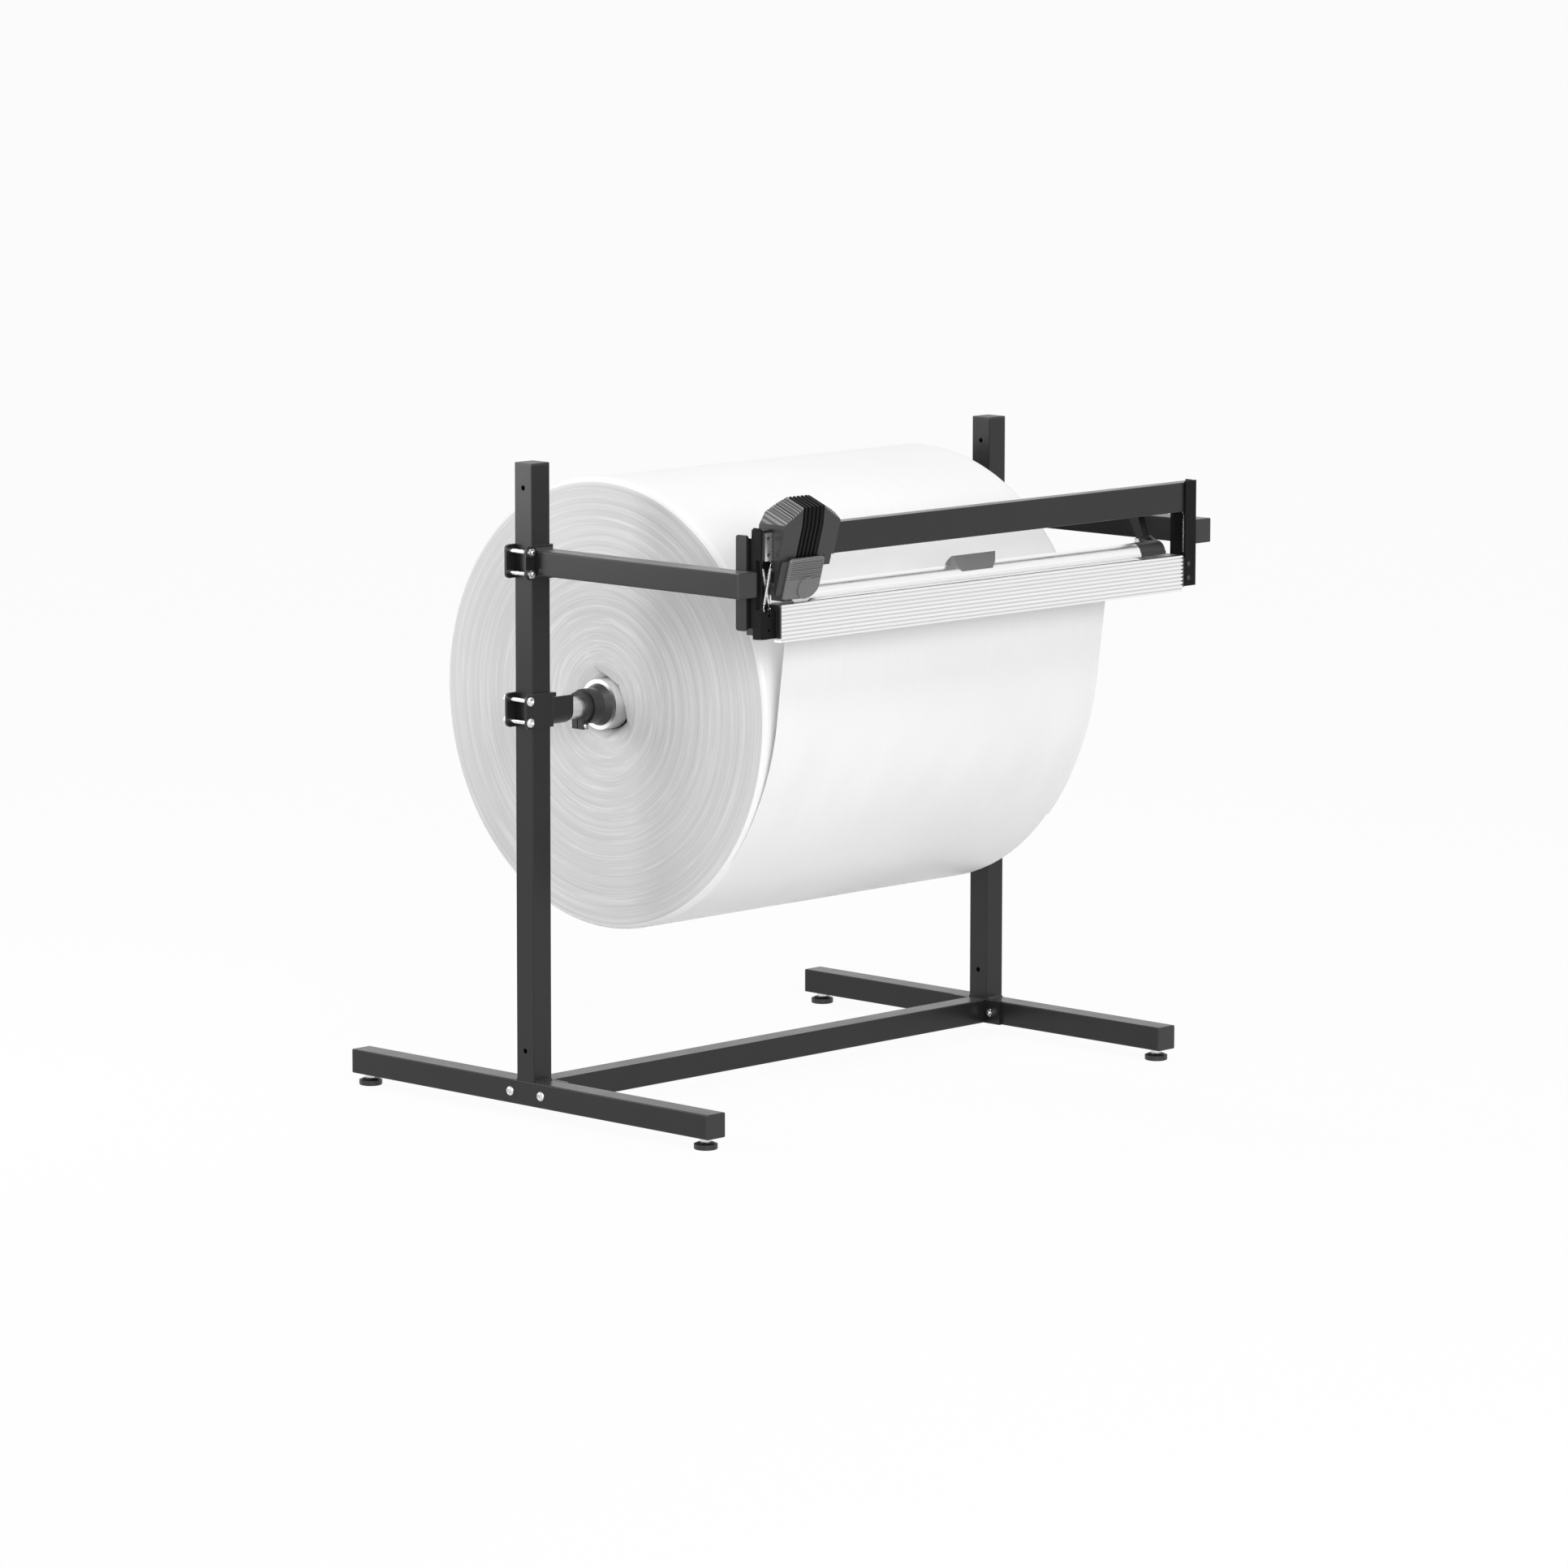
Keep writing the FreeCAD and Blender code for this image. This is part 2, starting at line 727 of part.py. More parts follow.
upright_caps = []
foot_caps = []
for name, side in SIDES:
    upright = tube(name + "_upright", "XY_Plane", S.upright_top - BAR_TOP)
    levels = (S.upright_top - S.top_hole_drop - BAR_TOP, S.low_hole_rise - BAR_TOP)
    cross_bores(upright, "YZ_Plane", [(0, level) for level in levels], S.side_hole_radius)
    weld(upright, "YZ_Plane", ZERO, S.tube_side - S.tube_corner * 2)
    place(upright, S.upright_x * side, S.upright_y, BAR_TOP)
    upright_caps.append(cap(S.upright_x * side, S.upright_y, S.upright_top))

    foot_bar = tube(name + "_foot_bar", "XZ_Plane", S.foot_bar_length, symmetric=True)
    bores = [(y, 0) for y in FLANGE_BOLT_Y]
    cross_bores(foot_bar, "YZ_Plane", bores, BOLT_BORE)
    stud_bores = new_sketch(foot_bar, "XY_Plane")
    for way in (-1, 1):
        draw_circle(stud_bores, 0, (S.foot_bar_length / 2 - S.foot_inset) * way, S.stud_radius + S.bore_slack)
    pocket(foot_bar, stud_bores, S.tube_side, symmetric=False)
    place(foot_bar, S.upright_x * side, S.upright_y, S.ground_gap + S.tube_side / 2)
    bar_level = S.ground_gap + S.tube_side / 2
    for end, way, angle in (("front", -1, 90), ("rear", 1, -90)):
        y = S.upright_y + S.foot_bar_length / 2 * way
        foot_caps.append(cap(S.upright_x * side, y, bar_level, (Vector(1, 0, 0), angle)))

        foot = new_body(f"{name}_{end}_foot")
        edge = S.foot_radius
        rim = S.foot_edge_round
        shoulder = S.foot_pad_height - S.foot_shoulder
        profile = [
            (0, 0), (edge - rim, 0), (edge, rim, rim, 1), (edge, shoulder),
            (S.foot_crown_radius, S.foot_pad_height), (S.stud_radius, S.foot_pad_height),
            (S.stud_radius, S.ground_gap + S.stud_rise), (0, S.ground_gap + S.stud_rise),
        ]
        revolve(foot, draw(new_sketch(foot, "XZ_Plane"), profile), "V_Axis")
        place(foot, S.upright_x * side, FOOT_Y[0] if way < 0 else FOOT_Y[1], ZERO)

group("upright_caps", upright_caps)
group("foot_bar_caps", foot_caps)

cross_tube = new_body("cross_tube")
cross_length = S.upright_pitch - S.tube_side
pad(cross_tube, draw(new_sketch(cross_tube, "YZ_Plane"), square(S.tube_side, S.tube_side)), cross_length, True)
soften(cross_tube, S.tube_corner, along("X"))
inner_side = S.tube_side - S.tube_wall * 2
pocket(cross_tube, draw(new_sketch(cross_tube, "YZ_Plane"), square(inner_side, inner_side)))
for way in (-1, 1):
    flange = new_sketch(cross_tube, "YZ_Plane", (cross_length / 2 - S.flange_thick / 2) * way)
    draw(flange, square(S.flange_width, S.tube_side))
    pad(cross_tube, flange, S.flange_thick, True)
cross_bores(cross_tube, "YZ_Plane", [(y, 0) for y in FLANGE_BOLT_Y], BOLT_BORE)
place(cross_tube, ZERO, S.upright_y, S.ground_gap + S.tube_side / 2)

bolts = []
nuts = []
grip_length = S.tube_side + S.flange_thick + S.nut_height + S.bolt_end
for axis, side in (("X", -1), ("-X", 1)):
    for y in FLANGE_BOLT_Y:
        level = S.ground_gap + S.tube_side / 2
        outer = (S.upright_x + S.tube_side / 2) * side
        bolts += bolt(axis, (outer, S.upright_y + y, level), grip_length)
        inner = (S.upright_x - S.tube_side / 2 - S.flange_thick) * side
        nuts.append(nut(axis, (inner, S.upright_y + y, level), S.bolt_radius))
group("cross_tube_bolts", bolts)
group("cross_tube_nuts", nuts)

lock_nuts = []
for side in (-1, 1):
    for y in FOOT_Y:
        spot = (S.upright_x * side, y, S.foot_pad_height)
        height = S.ground_gap - S.foot_pad_height
        lock_nuts.append(nut("Z", spot, S.stud_radius, S.foot_nut_radius, height))
group("foot_nuts", lock_nuts)


# Clamps that hold the arms and the roll cradles on the uprights


def clamp(label, side, height, level):
    """A bent strap round three faces of the upright, with ears past the fourth for two bolts."""
    body = new_body(label)
    half = S.tube_side / 2
    out = half + S.clamp_wall
    ear = half + S.clamp_ear
    outline = [
        (-out, -out), (ear, -out), (ear, -half), (-half, -half),
        (-half, half), (ear, half), (ear, out), (-out, out),
    ]
    pad(body, draw(new_sketch(body, "XY_Plane"), [(x * side, y) for x, y in outline]), height, True)
    wall = S.clamp_wall.value
    soften(body, S.clamp_wall, lambda edge: along("Z")(edge) and abs(edge.CenterOfMass.x + out.value * side) < 1e-4)
    reach = ear.value
    turned = along("Y")
    soften(body, S.clamp_ear_round, lambda edge: turned(edge) and abs(edge.CenterOfMass.x - reach * side) < wall / 2)
    spots = [((half + S.clamp_bolt_out) * side, S.clamp_bolt_pitch / 2 * way) for way in (-1, 1)]
    cross_bores(body, "XZ_Plane", spots, BOLT_BORE)
    return place(body, S.upright_x * side, S.upright_y, level)


CRADLE_LEVEL = S.axle_level + S.cradle_clamp_lift
CLAMP_HALF = S.tube_side / 2 + S.clamp_wall
CLAMP_SPAN = CLAMP_HALF * 2

arm_caps = []
for name, side in SIDES:
    clamp(name + "_arm_clamp", side, S.arm_clamp_height, S.arm_level)

    arm = tube(name + "_arm", "XZ_Plane", S.arm_reach - CLAMP_HALF)
    sketch = new_sketch(arm, "YZ_Plane")
    half = S.tube_side / 2
    for way in (-1, 1):
        bead = [(0, half * way), (0, (half + S.weld_leg) * way), (-S.weld_leg, half * way)]
        draw(sketch, bead)
    pad(arm, sketch, S.tube_side - S.tube_corner * 2, True)
    place(arm, S.upright_x * side, forward(CLAMP_HALF), S.arm_level)
    arm_caps.append(cap(S.upright_x * side, forward(S.arm_reach), S.arm_level, (Vector(1, 0, 0), 90)))

    cradle = clamp(name + "_cradle_clamp", side, S.cradle_clamp_height, CRADLE_LEVEL)
    inside = S.shaft_radius + S.cradle_slack
    outside = inside + S.cradle_wall
    axis = -S.cradle_clamp_lift
    lip = axis + S.cradle_lip_rise
    trough = [
        (-outside, lip), (-outside, axis), (0, axis - outside, outside, 1), (outside, axis, outside, 1),
        (outside, lip), (inside, lip), (inside, axis), (0, axis - inside, inside, -1),
        (-inside, axis, inside, -1), (-inside, lip),
    ]
    middle = (CLAMP_HALF + S.cradle_length / 2) * -side
    pad(cradle, draw(new_sketch(cradle, "YZ_Plane", middle), trough), S.cradle_length, True)
    tip = (CLAMP_HALF + S.cradle_length) * -side
    low = axis - outside
    turn = S.cradle_end_round
    nose = [(tip, low), (tip, low + turn), (tip + turn * side, low, turn, side)]
    pocket(cradle, draw(new_sketch(cradle, "XZ_Plane"), nose))


group("arm_caps", arm_caps)


def clamp_fasteners(label, level, front_heads):
    """Two bolts through each clamp's ears, heads to the front or to the back."""
    screws = []
    rings = []
    length = CLAMP_SPAN + S.nut_height + S.bolt_end
    for side in (-1, 1):
        for way in (-1, 1):
            x = (S.upright_x + S.tube_side / 2 + S.clamp_bolt_out) * side
            z = level + S.clamp_bolt_pitch / 2 * way
            facing = -1 if front_heads else 1
            axis = "Y" if front_heads else "-Y"
            screws += bolt(axis, (x, S.upright_y + CLAMP_HALF * facing, z), length)
            rings.append(nut(axis, (x, S.upright_y - CLAMP_HALF * facing, z), S.bolt_radius))
    group(label + "_bolts", screws)
    group(label + "_nuts", rings)


clamp_fasteners("arm_clamp", S.arm_level, False)
clamp_fasteners("cradle_clamp", CRADLE_LEVEL, True)


# The roll on its shaft


def turned_piece(label, outline):
    """A piece turned round the shaft's axis. The outline gives distance along X and radius."""
    body = new_body(label)
    revolve(body, draw(new_sketch(body, "XZ_Plane"), outline), "H_Axis")
    return place(body, ZERO, S.upright_y, S.axle_level)


shaft_end = S.clamp_inner_x - S.shaft_end_gap
shaft = turned_piece("roll_shaft", rectangle(-shaft_end, S.shaft_radius - S.shaft_wall, shaft_end, S.shaft_radius))

shaft_bore = S.shaft_radius + S.bore_slack
chuck_screws = []
for name, side in SIDES:
    plug = [(S.disc_reach, shaft_bore), (S.disc_reach, S.disc_radius),
            (S.disc_reach - S.disc_thick - S.core_plug_depth, S.disc_radius),
            (S.disc_reach - S.disc_thick - S.core_plug_depth, shaft_bore)]
    turned_piece(name + "_core_plug", [(x * side, r) for x, r in plug])

    collar_start = S.collar_reach - S.collar_width
    taper = S.disc_reach + S.collar_width
    outline = [
        (S.disc_reach, shaft_bore), (S.disc_reach, S.hub_taper_radius), (taper, S.hub_radius),
        (collar_start, S.hub_radius), (collar_start, S.collar_radius),
        (S.collar_reach, S.collar_radius), (S.collar_reach, shaft_bore),
    ]
    chuck = turned_piece(name + "_chuck", [(x * side, r) for x, r in outline])
    ear = new_sketch(chuck, "YZ_Plane", (S.collar_reach - S.collar_width / 2) * side)
    draw(ear, rectangle(-S.collar_ear_half, -S.collar_ear_drop, S.collar_ear_half, -shaft_bore - S.collar_slit))
    pad(chuck, ear, S.collar_width, True)
    slit = new_sketch(chuck, "YZ_Plane", (S.collar_reach - S.collar_width / 2) * side)
    draw(slit, rectangle(-S.collar_slit / 2, -S.collar_ear_drop - S.overrun, S.collar_slit / 2, -S.shaft_radius / 2))
    pocket(chuck, slit, S.collar_width)
    drop = (S.collar_ear_drop + S.collar_radius) / 2
    screw_x = (S.collar_reach - S.collar_width / 2) * side
    bore = new_sketch(chuck, "XZ_Plane")
    draw_circle(bore, screw_x, -drop, S.screw_radius + S.bore_slack)
    pocket(chuck, bore)
    spot = (screw_x, S.upright_y - S.collar_ear_half, S.axle_level - drop)
    chuck_screws += bolt("Y", spot, S.collar_ear_half * 2, S.screw_radius, S.screw_head_radius, S.screw_head_height)
group("chuck_screws", chuck_screws)

roll = new_body("film_roll")
half = S.roll_half_width
mouth = half - S.roll_mouth_depth
outline = [(-half, S.roll_mouth_radius), (-mouth, S.roll_bore_radius), (mouth, S.roll_bore_radius), (half, S.roll_mouth_radius)]
RING_SHARES = (0.16, 0.31, 0.52, 0.74, 0.9)
span = S.roll_radius - S.roll_mouth_radius
face = [(half - S.roll_ring_depth * (row % 2), S.roll_mouth_radius + span * share) for row, share in enumerate(RING_SHARES)]
outline += face + [(half, S.roll_radius), (-half, S.roll_radius)]
outline += [(-x, r) for x, r in reversed(face)]
inner = S.roll_shell + S.roll_ring_depth
wound = draw(new_sketch(roll, "XZ_Plane"), outline)
draw(wound, rectangle(inner - half, S.roll_mouth_radius + S.roll_shell, half - inner, S.roll_radius - S.roll_shell))
revolve(roll, wound, "H_Axis")
place(roll, ZERO, S.upright_y, S.axle_level)


def ribbon(nodes, thick):
    """Outline of a band along a path of (reach, level, lean, bend); lean is the angle from upright."""
    half = thick / 2
    rear = []
    front = []
    for reach, level, lean, bend in nodes:
        across = cosine(lean) * half
        rise = sine(lean) * half
        rear.append([across - reach, level + rise])
        front.append([-across - reach, level - rise])
        if bend is not None:
            radius, turn = bend
            rear[-1] += [radius + half * turn, turn]
            front[-1] += [radius - half * turn, turn]
    outline = [tuple(point) for point in rear]
    for index in range(len(front) - 1, -1, -1):
        leading = front[index + 1][2:] if index + 1 < len(front) else []
        outline.append(tuple(front[index][:2] + [leading[0], -leading[1]] if leading else front[index][:2]))
    return outline


# The film leaves the roll below its widest point, bows out along one long arc that touches both the roll and the straight
# run to the rail, and lies over the rail under the bar. The arc is drawn from where it has come clear of the roll.

web = new_body("film_web")
leave = S.roll_radius + S.web_gap + S.web_thick / 2
nose_bend = S.rail_rear_round + S.web_rail_gap + S.web_thick / 2
nose_reach = S.rail_rear_reach + S.rail_rear_round
nose_level = S.rail_top - S.rail_rear_round - S.web_rail_gap
meet_reach = nose_reach - nose_bend * cosine(S.web_lean)
meet_level = nose_level + nose_bend * sine(S.web_lean)
run_off = meet_reach * cosine(S.web_lean) - (meet_level - S.axle_level) * sine(S.web_lean)
spread = cosine(S.web_leave_angle - S.web_lean)
bow_bend = (run_off - leave * spread) / (1 - spread)
bow_reach = (leave - bow_bend) * cosine(S.web_leave_angle)
bow_level = S.axle_level + (bow_bend - leave) * sine(S.web_leave_angle)
flat = Measure("90", 90)
end_reach = S.groove_rear_reach - S.web_end_gap


def on_bow(lean):
    """Reach and level of the arc's point at which the film leans by the angle."""
    return bow_reach + bow_bend * cosine(lean), bow_level - bow_bend * sine(lean)


path = [
    (*on_bow(S.web_start_angle), S.web_start_angle, None),
    (*on_bow(S.web_lean), S.web_lean, (bow_bend, -1)),
    (meet_reach, meet_level, S.web_lean, None),
    (nose_reach, S.rail_top + S.web_thick / 2, flat, (nose_bend, 1)),
    (end_reach, S.rail_top + S.web_thick / 2, flat, None),
]
pad(web, draw(new_sketch(web, "YZ_Plane"), ribbon(path, S.web_thick)), S.web_half_width * 2, True)
place(web, ZERO, S.upright_y, ZERO)


# Brackets, housings, beam and rail


def at_reach(label):
    """A body whose side profile is drawn as (-reach, level) about the uprights' plane."""
    return place(new_body(label), ZERO, S.upright_y, ZERO)


WALL_X = S.housing_inner_x + S.plate_thick / 2
BLOCK_X = S.block_inner_x + S.block_width / 2
DEEP = S.housing_front_reach
BACK = S.housing_rear_reach

housing_screws = []
for name, side in SIDES:
    bracket = at_reach(name + "_bracket")
    strip = rectangle(-S.bracket_front_reach, S.bracket_low, -S.bracket_rear_reach, S.bracket_top)
    pad(bracket, draw(new_sketch(bracket, "YZ_Plane", (S.bracket_x + S.bracket_thick / 2) * side), strip), S.bracket_thick, True)
    soften(bracket, S.clamp_wall, along("X"))

    housing = at_reach(name + "_housing")
    outline = [
        (-DEEP, S.housing_low), (-BACK, S.housing_low), (-BACK, S.bracket_low + S.clamp_wall),
        (-S.bracket_rear_reach, S.bracket_low + S.clamp_wall), (-S.bracket_rear_reach, S.bracket_top - S.clamp_wall),
        (-BACK, S.bracket_top - S.clamp_wall), (-BACK, S.housing_top), (-DEEP, S.housing_top),
    ]
    pad(housing, draw(new_sketch(housing, "YZ_Plane", WALL_X * side), outline), S.plate_thick, True)
    front_line = -DEEP.value
    across = along("X")
    soften(housing, S.housing_round, lambda edge: across(edge) and near(edge.CenterOfMass.y, front_line))
    block = rectangle(-DEEP, S.housing_low, -BACK, S.housing_block_top)
    pad(housing, draw(new_sketch(housing, "YZ_Plane", BLOCK_X * side), block), S.block_width, True)
    back_wall = rectangle(-BACK - S.plate_thick, S.housing_block_top, -BACK, S.beam_low)
    pad(housing, draw(new_sketch(housing, "YZ_Plane", BLOCK_X * side), back_wall), S.block_width, True)
    window = new_sketch(housing, "YZ_Plane", WALL_X * side)
    middle = (DEEP + BACK + S.plate_thick) / 2
    draw(window, rectangle(-middle - S.housing_slot_width / 2, S.housing_slot_low,
                           S.housing_slot_width / 2 - middle, S.housing_slot_top))
    pocket(housing, window, S.plate_thick)
    low_side = S.housing_slot_low.value
    high_side = S.housing_slot_top.value
    soften(housing, S.housing_slot_width / 3, lambda edge: across(edge) and (
        near(edge.CenterOfMass.z, low_side) or near(edge.CenterOfMass.z, high_side)))
    screw_x = BLOCK_X * side
    screw_levels = [S.housing_low + S.block_width * share for share in (0.45, 1.22)]
    if side > 0:
        flange_x = S.bracket_x - S.flange_reach / 2
        flange = new_sketch(housing, "XZ_Plane", DEEP)
        half = S.flange_reach / 2
        draw(flange, rectangle(flange_x - half, S.housing_low, flange_x + half, S.housing_top))
        pad(housing, flange, S.plate_thick)
        outer = DEEP + S.plate_thick
        for level in screw_levels:
            spot = (screw_x, forward(outer), level)
            housing_screws += bolt("Y", spot, S.plate_thick * 2, S.screw_radius, S.screw_head_radius, S.screw_head_height)
    bore = new_sketch(housing, "XZ_Plane", DEEP)
    for level in screw_levels:
        draw_circle(bore, screw_x, level, S.screw_radius + S.bore_slack)
    pocket(housing, bore, S.plate_thick * 6, symmetric=True)
group("housing_screws", housing_screws)

beam = at_reach("guide_beam")
beam_box = rectangle(-S.beam_front_reach, S.beam_low, -S.beam_rear_reach, S.beam_low + S.beam_height)
pad(beam, draw(new_sketch(beam, "YZ_Plane"), beam_box), S.housing_inner_x * 2, True)
soften(beam, S.beam_wall, along("X"))
beam_core = rectangle(S.beam_wall - S.beam_front_reach, S.beam_low + S.beam_wall,
                      -S.beam_rear_reach - S.beam_wall, S.beam_low + S.beam_height - S.beam_wall)
pocket(beam, draw(new_sketch(beam, "YZ_Plane"), beam_core))

stop_plate = new_body("stop_plate")
plate_x = S.stop_plate_inset + S.stop_plate_width / 2 - S.housing_inner_x
half = S.stop_plate_width / 2
pad(stop_plate, draw(new_sketch(stop_plate, "XZ_Plane"), rectangle(-half, ZERO, half, S.stop_plate_height)), S.stop_plate_thick)
middle = S.stop_plate_height / 2
cross_bores(stop_plate, "XZ_Plane", [(0, middle + S.stop_hole_pitch / 2 * way) for way in (-1, 1)], S.stop_hole_radius)
place(stop_plate, plate_x, forward(S.beam_front_reach), S.beam_low)

rail = at_reach("cutting_rail")
front = S.rail_front_reach
skin = front - S.rail_skin
under = S.rail_top - S.rail_table
nose_r = S.rail_rear_round
core_x = -S.rail_rear_reach - nose_r
groove_front = S.groove_rear_reach + S.groove_width
boss_low = S.rail_top - S.rail_boss_depth
profile = [
    (-front, S.rail_low), (S.rail_foot - front, S.rail_low), (S.rail_foot - front, S.rail_low + S.rail_table),
    (-skin, S.rail_low + S.rail_table), (-skin, boss_low), (S.rail_boss_side - S.groove_rear_reach, boss_low),
    (S.rail_boss_side - S.groove_rear_reach, under), (core_x, under),
    (-S.rail_rear_reach - S.rail_table, S.rail_top - nose_r, nose_r - S.rail_table, -1),
    (-S.rail_rear_reach - S.rail_table, S.rail_top - S.rail_rear_drop),
    (-S.rail_rear_reach, S.rail_top - S.rail_rear_drop), (-S.rail_rear_reach, S.rail_top - nose_r),
    (core_x, S.rail_top, nose_r, 1), (-S.groove_rear_reach, S.rail_top),
    (-S.groove_rear_reach, S.rail_top - S.groove_depth), (-groove_front, S.rail_top - S.groove_depth),
    (-groove_front, S.rail_top), (S.rail_front_round - front, S.rail_top),
    (-front, S.rail_top - S.rail_front_round, S.rail_front_round, 1),
]
pad(rail, draw(new_sketch(rail, "YZ_Plane"), profile), S.rail_half_length * 2, True)
RAIL_GROOVES = 9
rib = new_sketch(rail, "YZ_Plane")
first = S.rail_low + S.rail_rib_pitch * 0.5
draw(rib, rectangle(-front - S.overrun, first, S.rail_rib_depth - front, first + S.rail_rib_pitch * S.rail_groove_share))
cut = pocket(rail, rib)
pattern(rail, cut, "Z_Axis", S.rail_rib_pitch * (RAIL_GROOVES - 1), RAIL_GROOVES)

for name, side in SIDES:
    rail_cap = at_reach(name + "_rail_cap")
    outline = rectangle(-front, S.housing_low, S.rail_cap_depth - front, S.rail_top)
    offset = (S.rail_half_length + S.rail_cap_thick / 2) * side
    pad(rail_cap, draw(new_sketch(rail_cap, "YZ_Plane", offset), outline), S.rail_cap_thick, True)
    across = along("X")
    soften(rail_cap, S.rail_cap_round, lambda edge: across(edge) and near(edge.CenterOfMass.z, S.rail_top.value))


# Springs between each housing's block and the beam


SPRING_COILS = 16


def spring(label, x, reach, lean):
    """A close-coiled spring on end eyes that bear on the block below and the beam above."""
    body = new_body(label)
    eye = S.spring_eye_radius
    rise = S.beam_low - S.housing_block_top - eye * 2
    length = rise / cosine(S.spring_lean) if lean else rise
    start = length * (1 - S.spring_coil_share) / 2
    pitch = length * S.spring_coil_share / SPRING_COILS
    valley = S.spring_radius - S.spring_wire / 2
    outline = [(0, -eye), (eye, ZERO, eye, 1), (S.spring_neck_radius, eye), (S.spring_neck_radius, start)]
    outline.append((valley, start))
    for row in range(SPRING_COILS):
        outline.append((S.spring_radius, start + pitch * (row + 0.5)))
        outline.append((valley, start + pitch * (row + 1)))
    top = start + pitch * SPRING_COILS
    outline += [(S.spring_neck_radius, top), (S.spring_neck_radius, length - eye), (eye, length), (0, length + eye, eye, 1)]
    revolve(body, draw(new_sketch(body, "XZ_Plane"), outline), "V_Axis")
    turn = (Vector(0, 1, 0), S.spring_lean.value * lean) if lean else None
    return place(body, x, forward(reach), S.housing_block_top + eye, turn)


spring_middle = (DEEP + BACK + S.plate_thick) / 2
spring_fore = spring_middle + S.spring_shift
spring_aft = spring_middle - S.spring_shift
spring("left_fore_spring", S.spring_inset - S.housing_inner_x, spring_fore, 1)
spring("left_rear_spring", -S.block_inner_x - S.spring_inset, spring_aft, -1)
spring("right_spring", BLOCK_X, spring_middle, 0)


# The hold-down bar and its grip swing together about two pins on hangers behind the beam

crest = (-S.bar_crest_reach, S.bar_top)
brow = (-S.bar_brow_reach, S.bar_low + S.bar_brow_rise)
shin = (S.bar_step - S.bar_front_reach, S.bar_low + S.bar_lip)


def bar_outline():
    return [
        (-S.bar_front_reach, S.bar_low), (-S.bar_rear_reach, S.bar_low), (-S.bar_rear_reach, S.bar_top - S.bar_back_round),
        crest + (S.bar_back_round, 1), brow + (S.bar_round, 1), shin + (S.bar_round, 1),
        (-S.bar_front_reach, S.bar_low + S.bar_lip),
    ]


bar = at_reach("hold_down_bar")
section = draw(new_sketch(bar, "YZ_Plane"), bar_outline())
inner_front = S.bar_front_reach - S.bar_back_round
inner_rear = S.bar_rear_reach + S.bar_wall
hollow = [
    (-inner_front, S.bar_low + S.bar_wall), (-inner_rear, S.bar_low + S.bar_wall),
    (-inner_rear, S.bar_top - S.bar_back_round * 1.6),
    (-inner_rear - S.bar_back_round * 1.6, S.bar_top - S.bar_wall * 2),
]
draw(section, hollow)
pad(bar, section, S.bar_half_length * 2, True)

grip = at_reach("grip")
ridge = S.bar_top + S.grip_ridge_rise
ridge_front = S.grip_ridge_reach + S.grip_ridge_round * 2
saddle = [
    brow, crest + (S.bar_round, -1), (-S.bar_rear_reach - S.grip_back_step, S.bar_top + S.grip_back_step),
    (-S.grip_ridge_reach, ridge, S.grip_front_round, 1), (-ridge_front, ridge, S.grip_ridge_round * 1.2, 1),
    (-S.bar_brow_reach - S.grip_brow_step, S.bar_low + S.bar_brow_rise + S.grip_brow_step, S.grip_front_round, -1),
]
pad(grip, draw(new_sketch(grip, "YZ_Plane"), saddle), S.grip_back_width, True)
ends = new_sketch(grip, "XY_Plane", S.bar_top)
far_front = -S.bar_brow_reach - S.overrun
for way in (-1, 1):
    clear = (S.grip_back_width / 2 + S.overrun) * way
    corner = [
        (S.grip_back_width / 2 * way, -S.bar_rear_reach), (clear, -S.bar_rear_reach), (clear, far_front),
        (S.grip_low_width / 2 * way, far_front), (S.grip_top_width / 2 * way, -S.grip_ridge_reach),
    ]
    draw(ends, corner)
pocket(grip, ends)

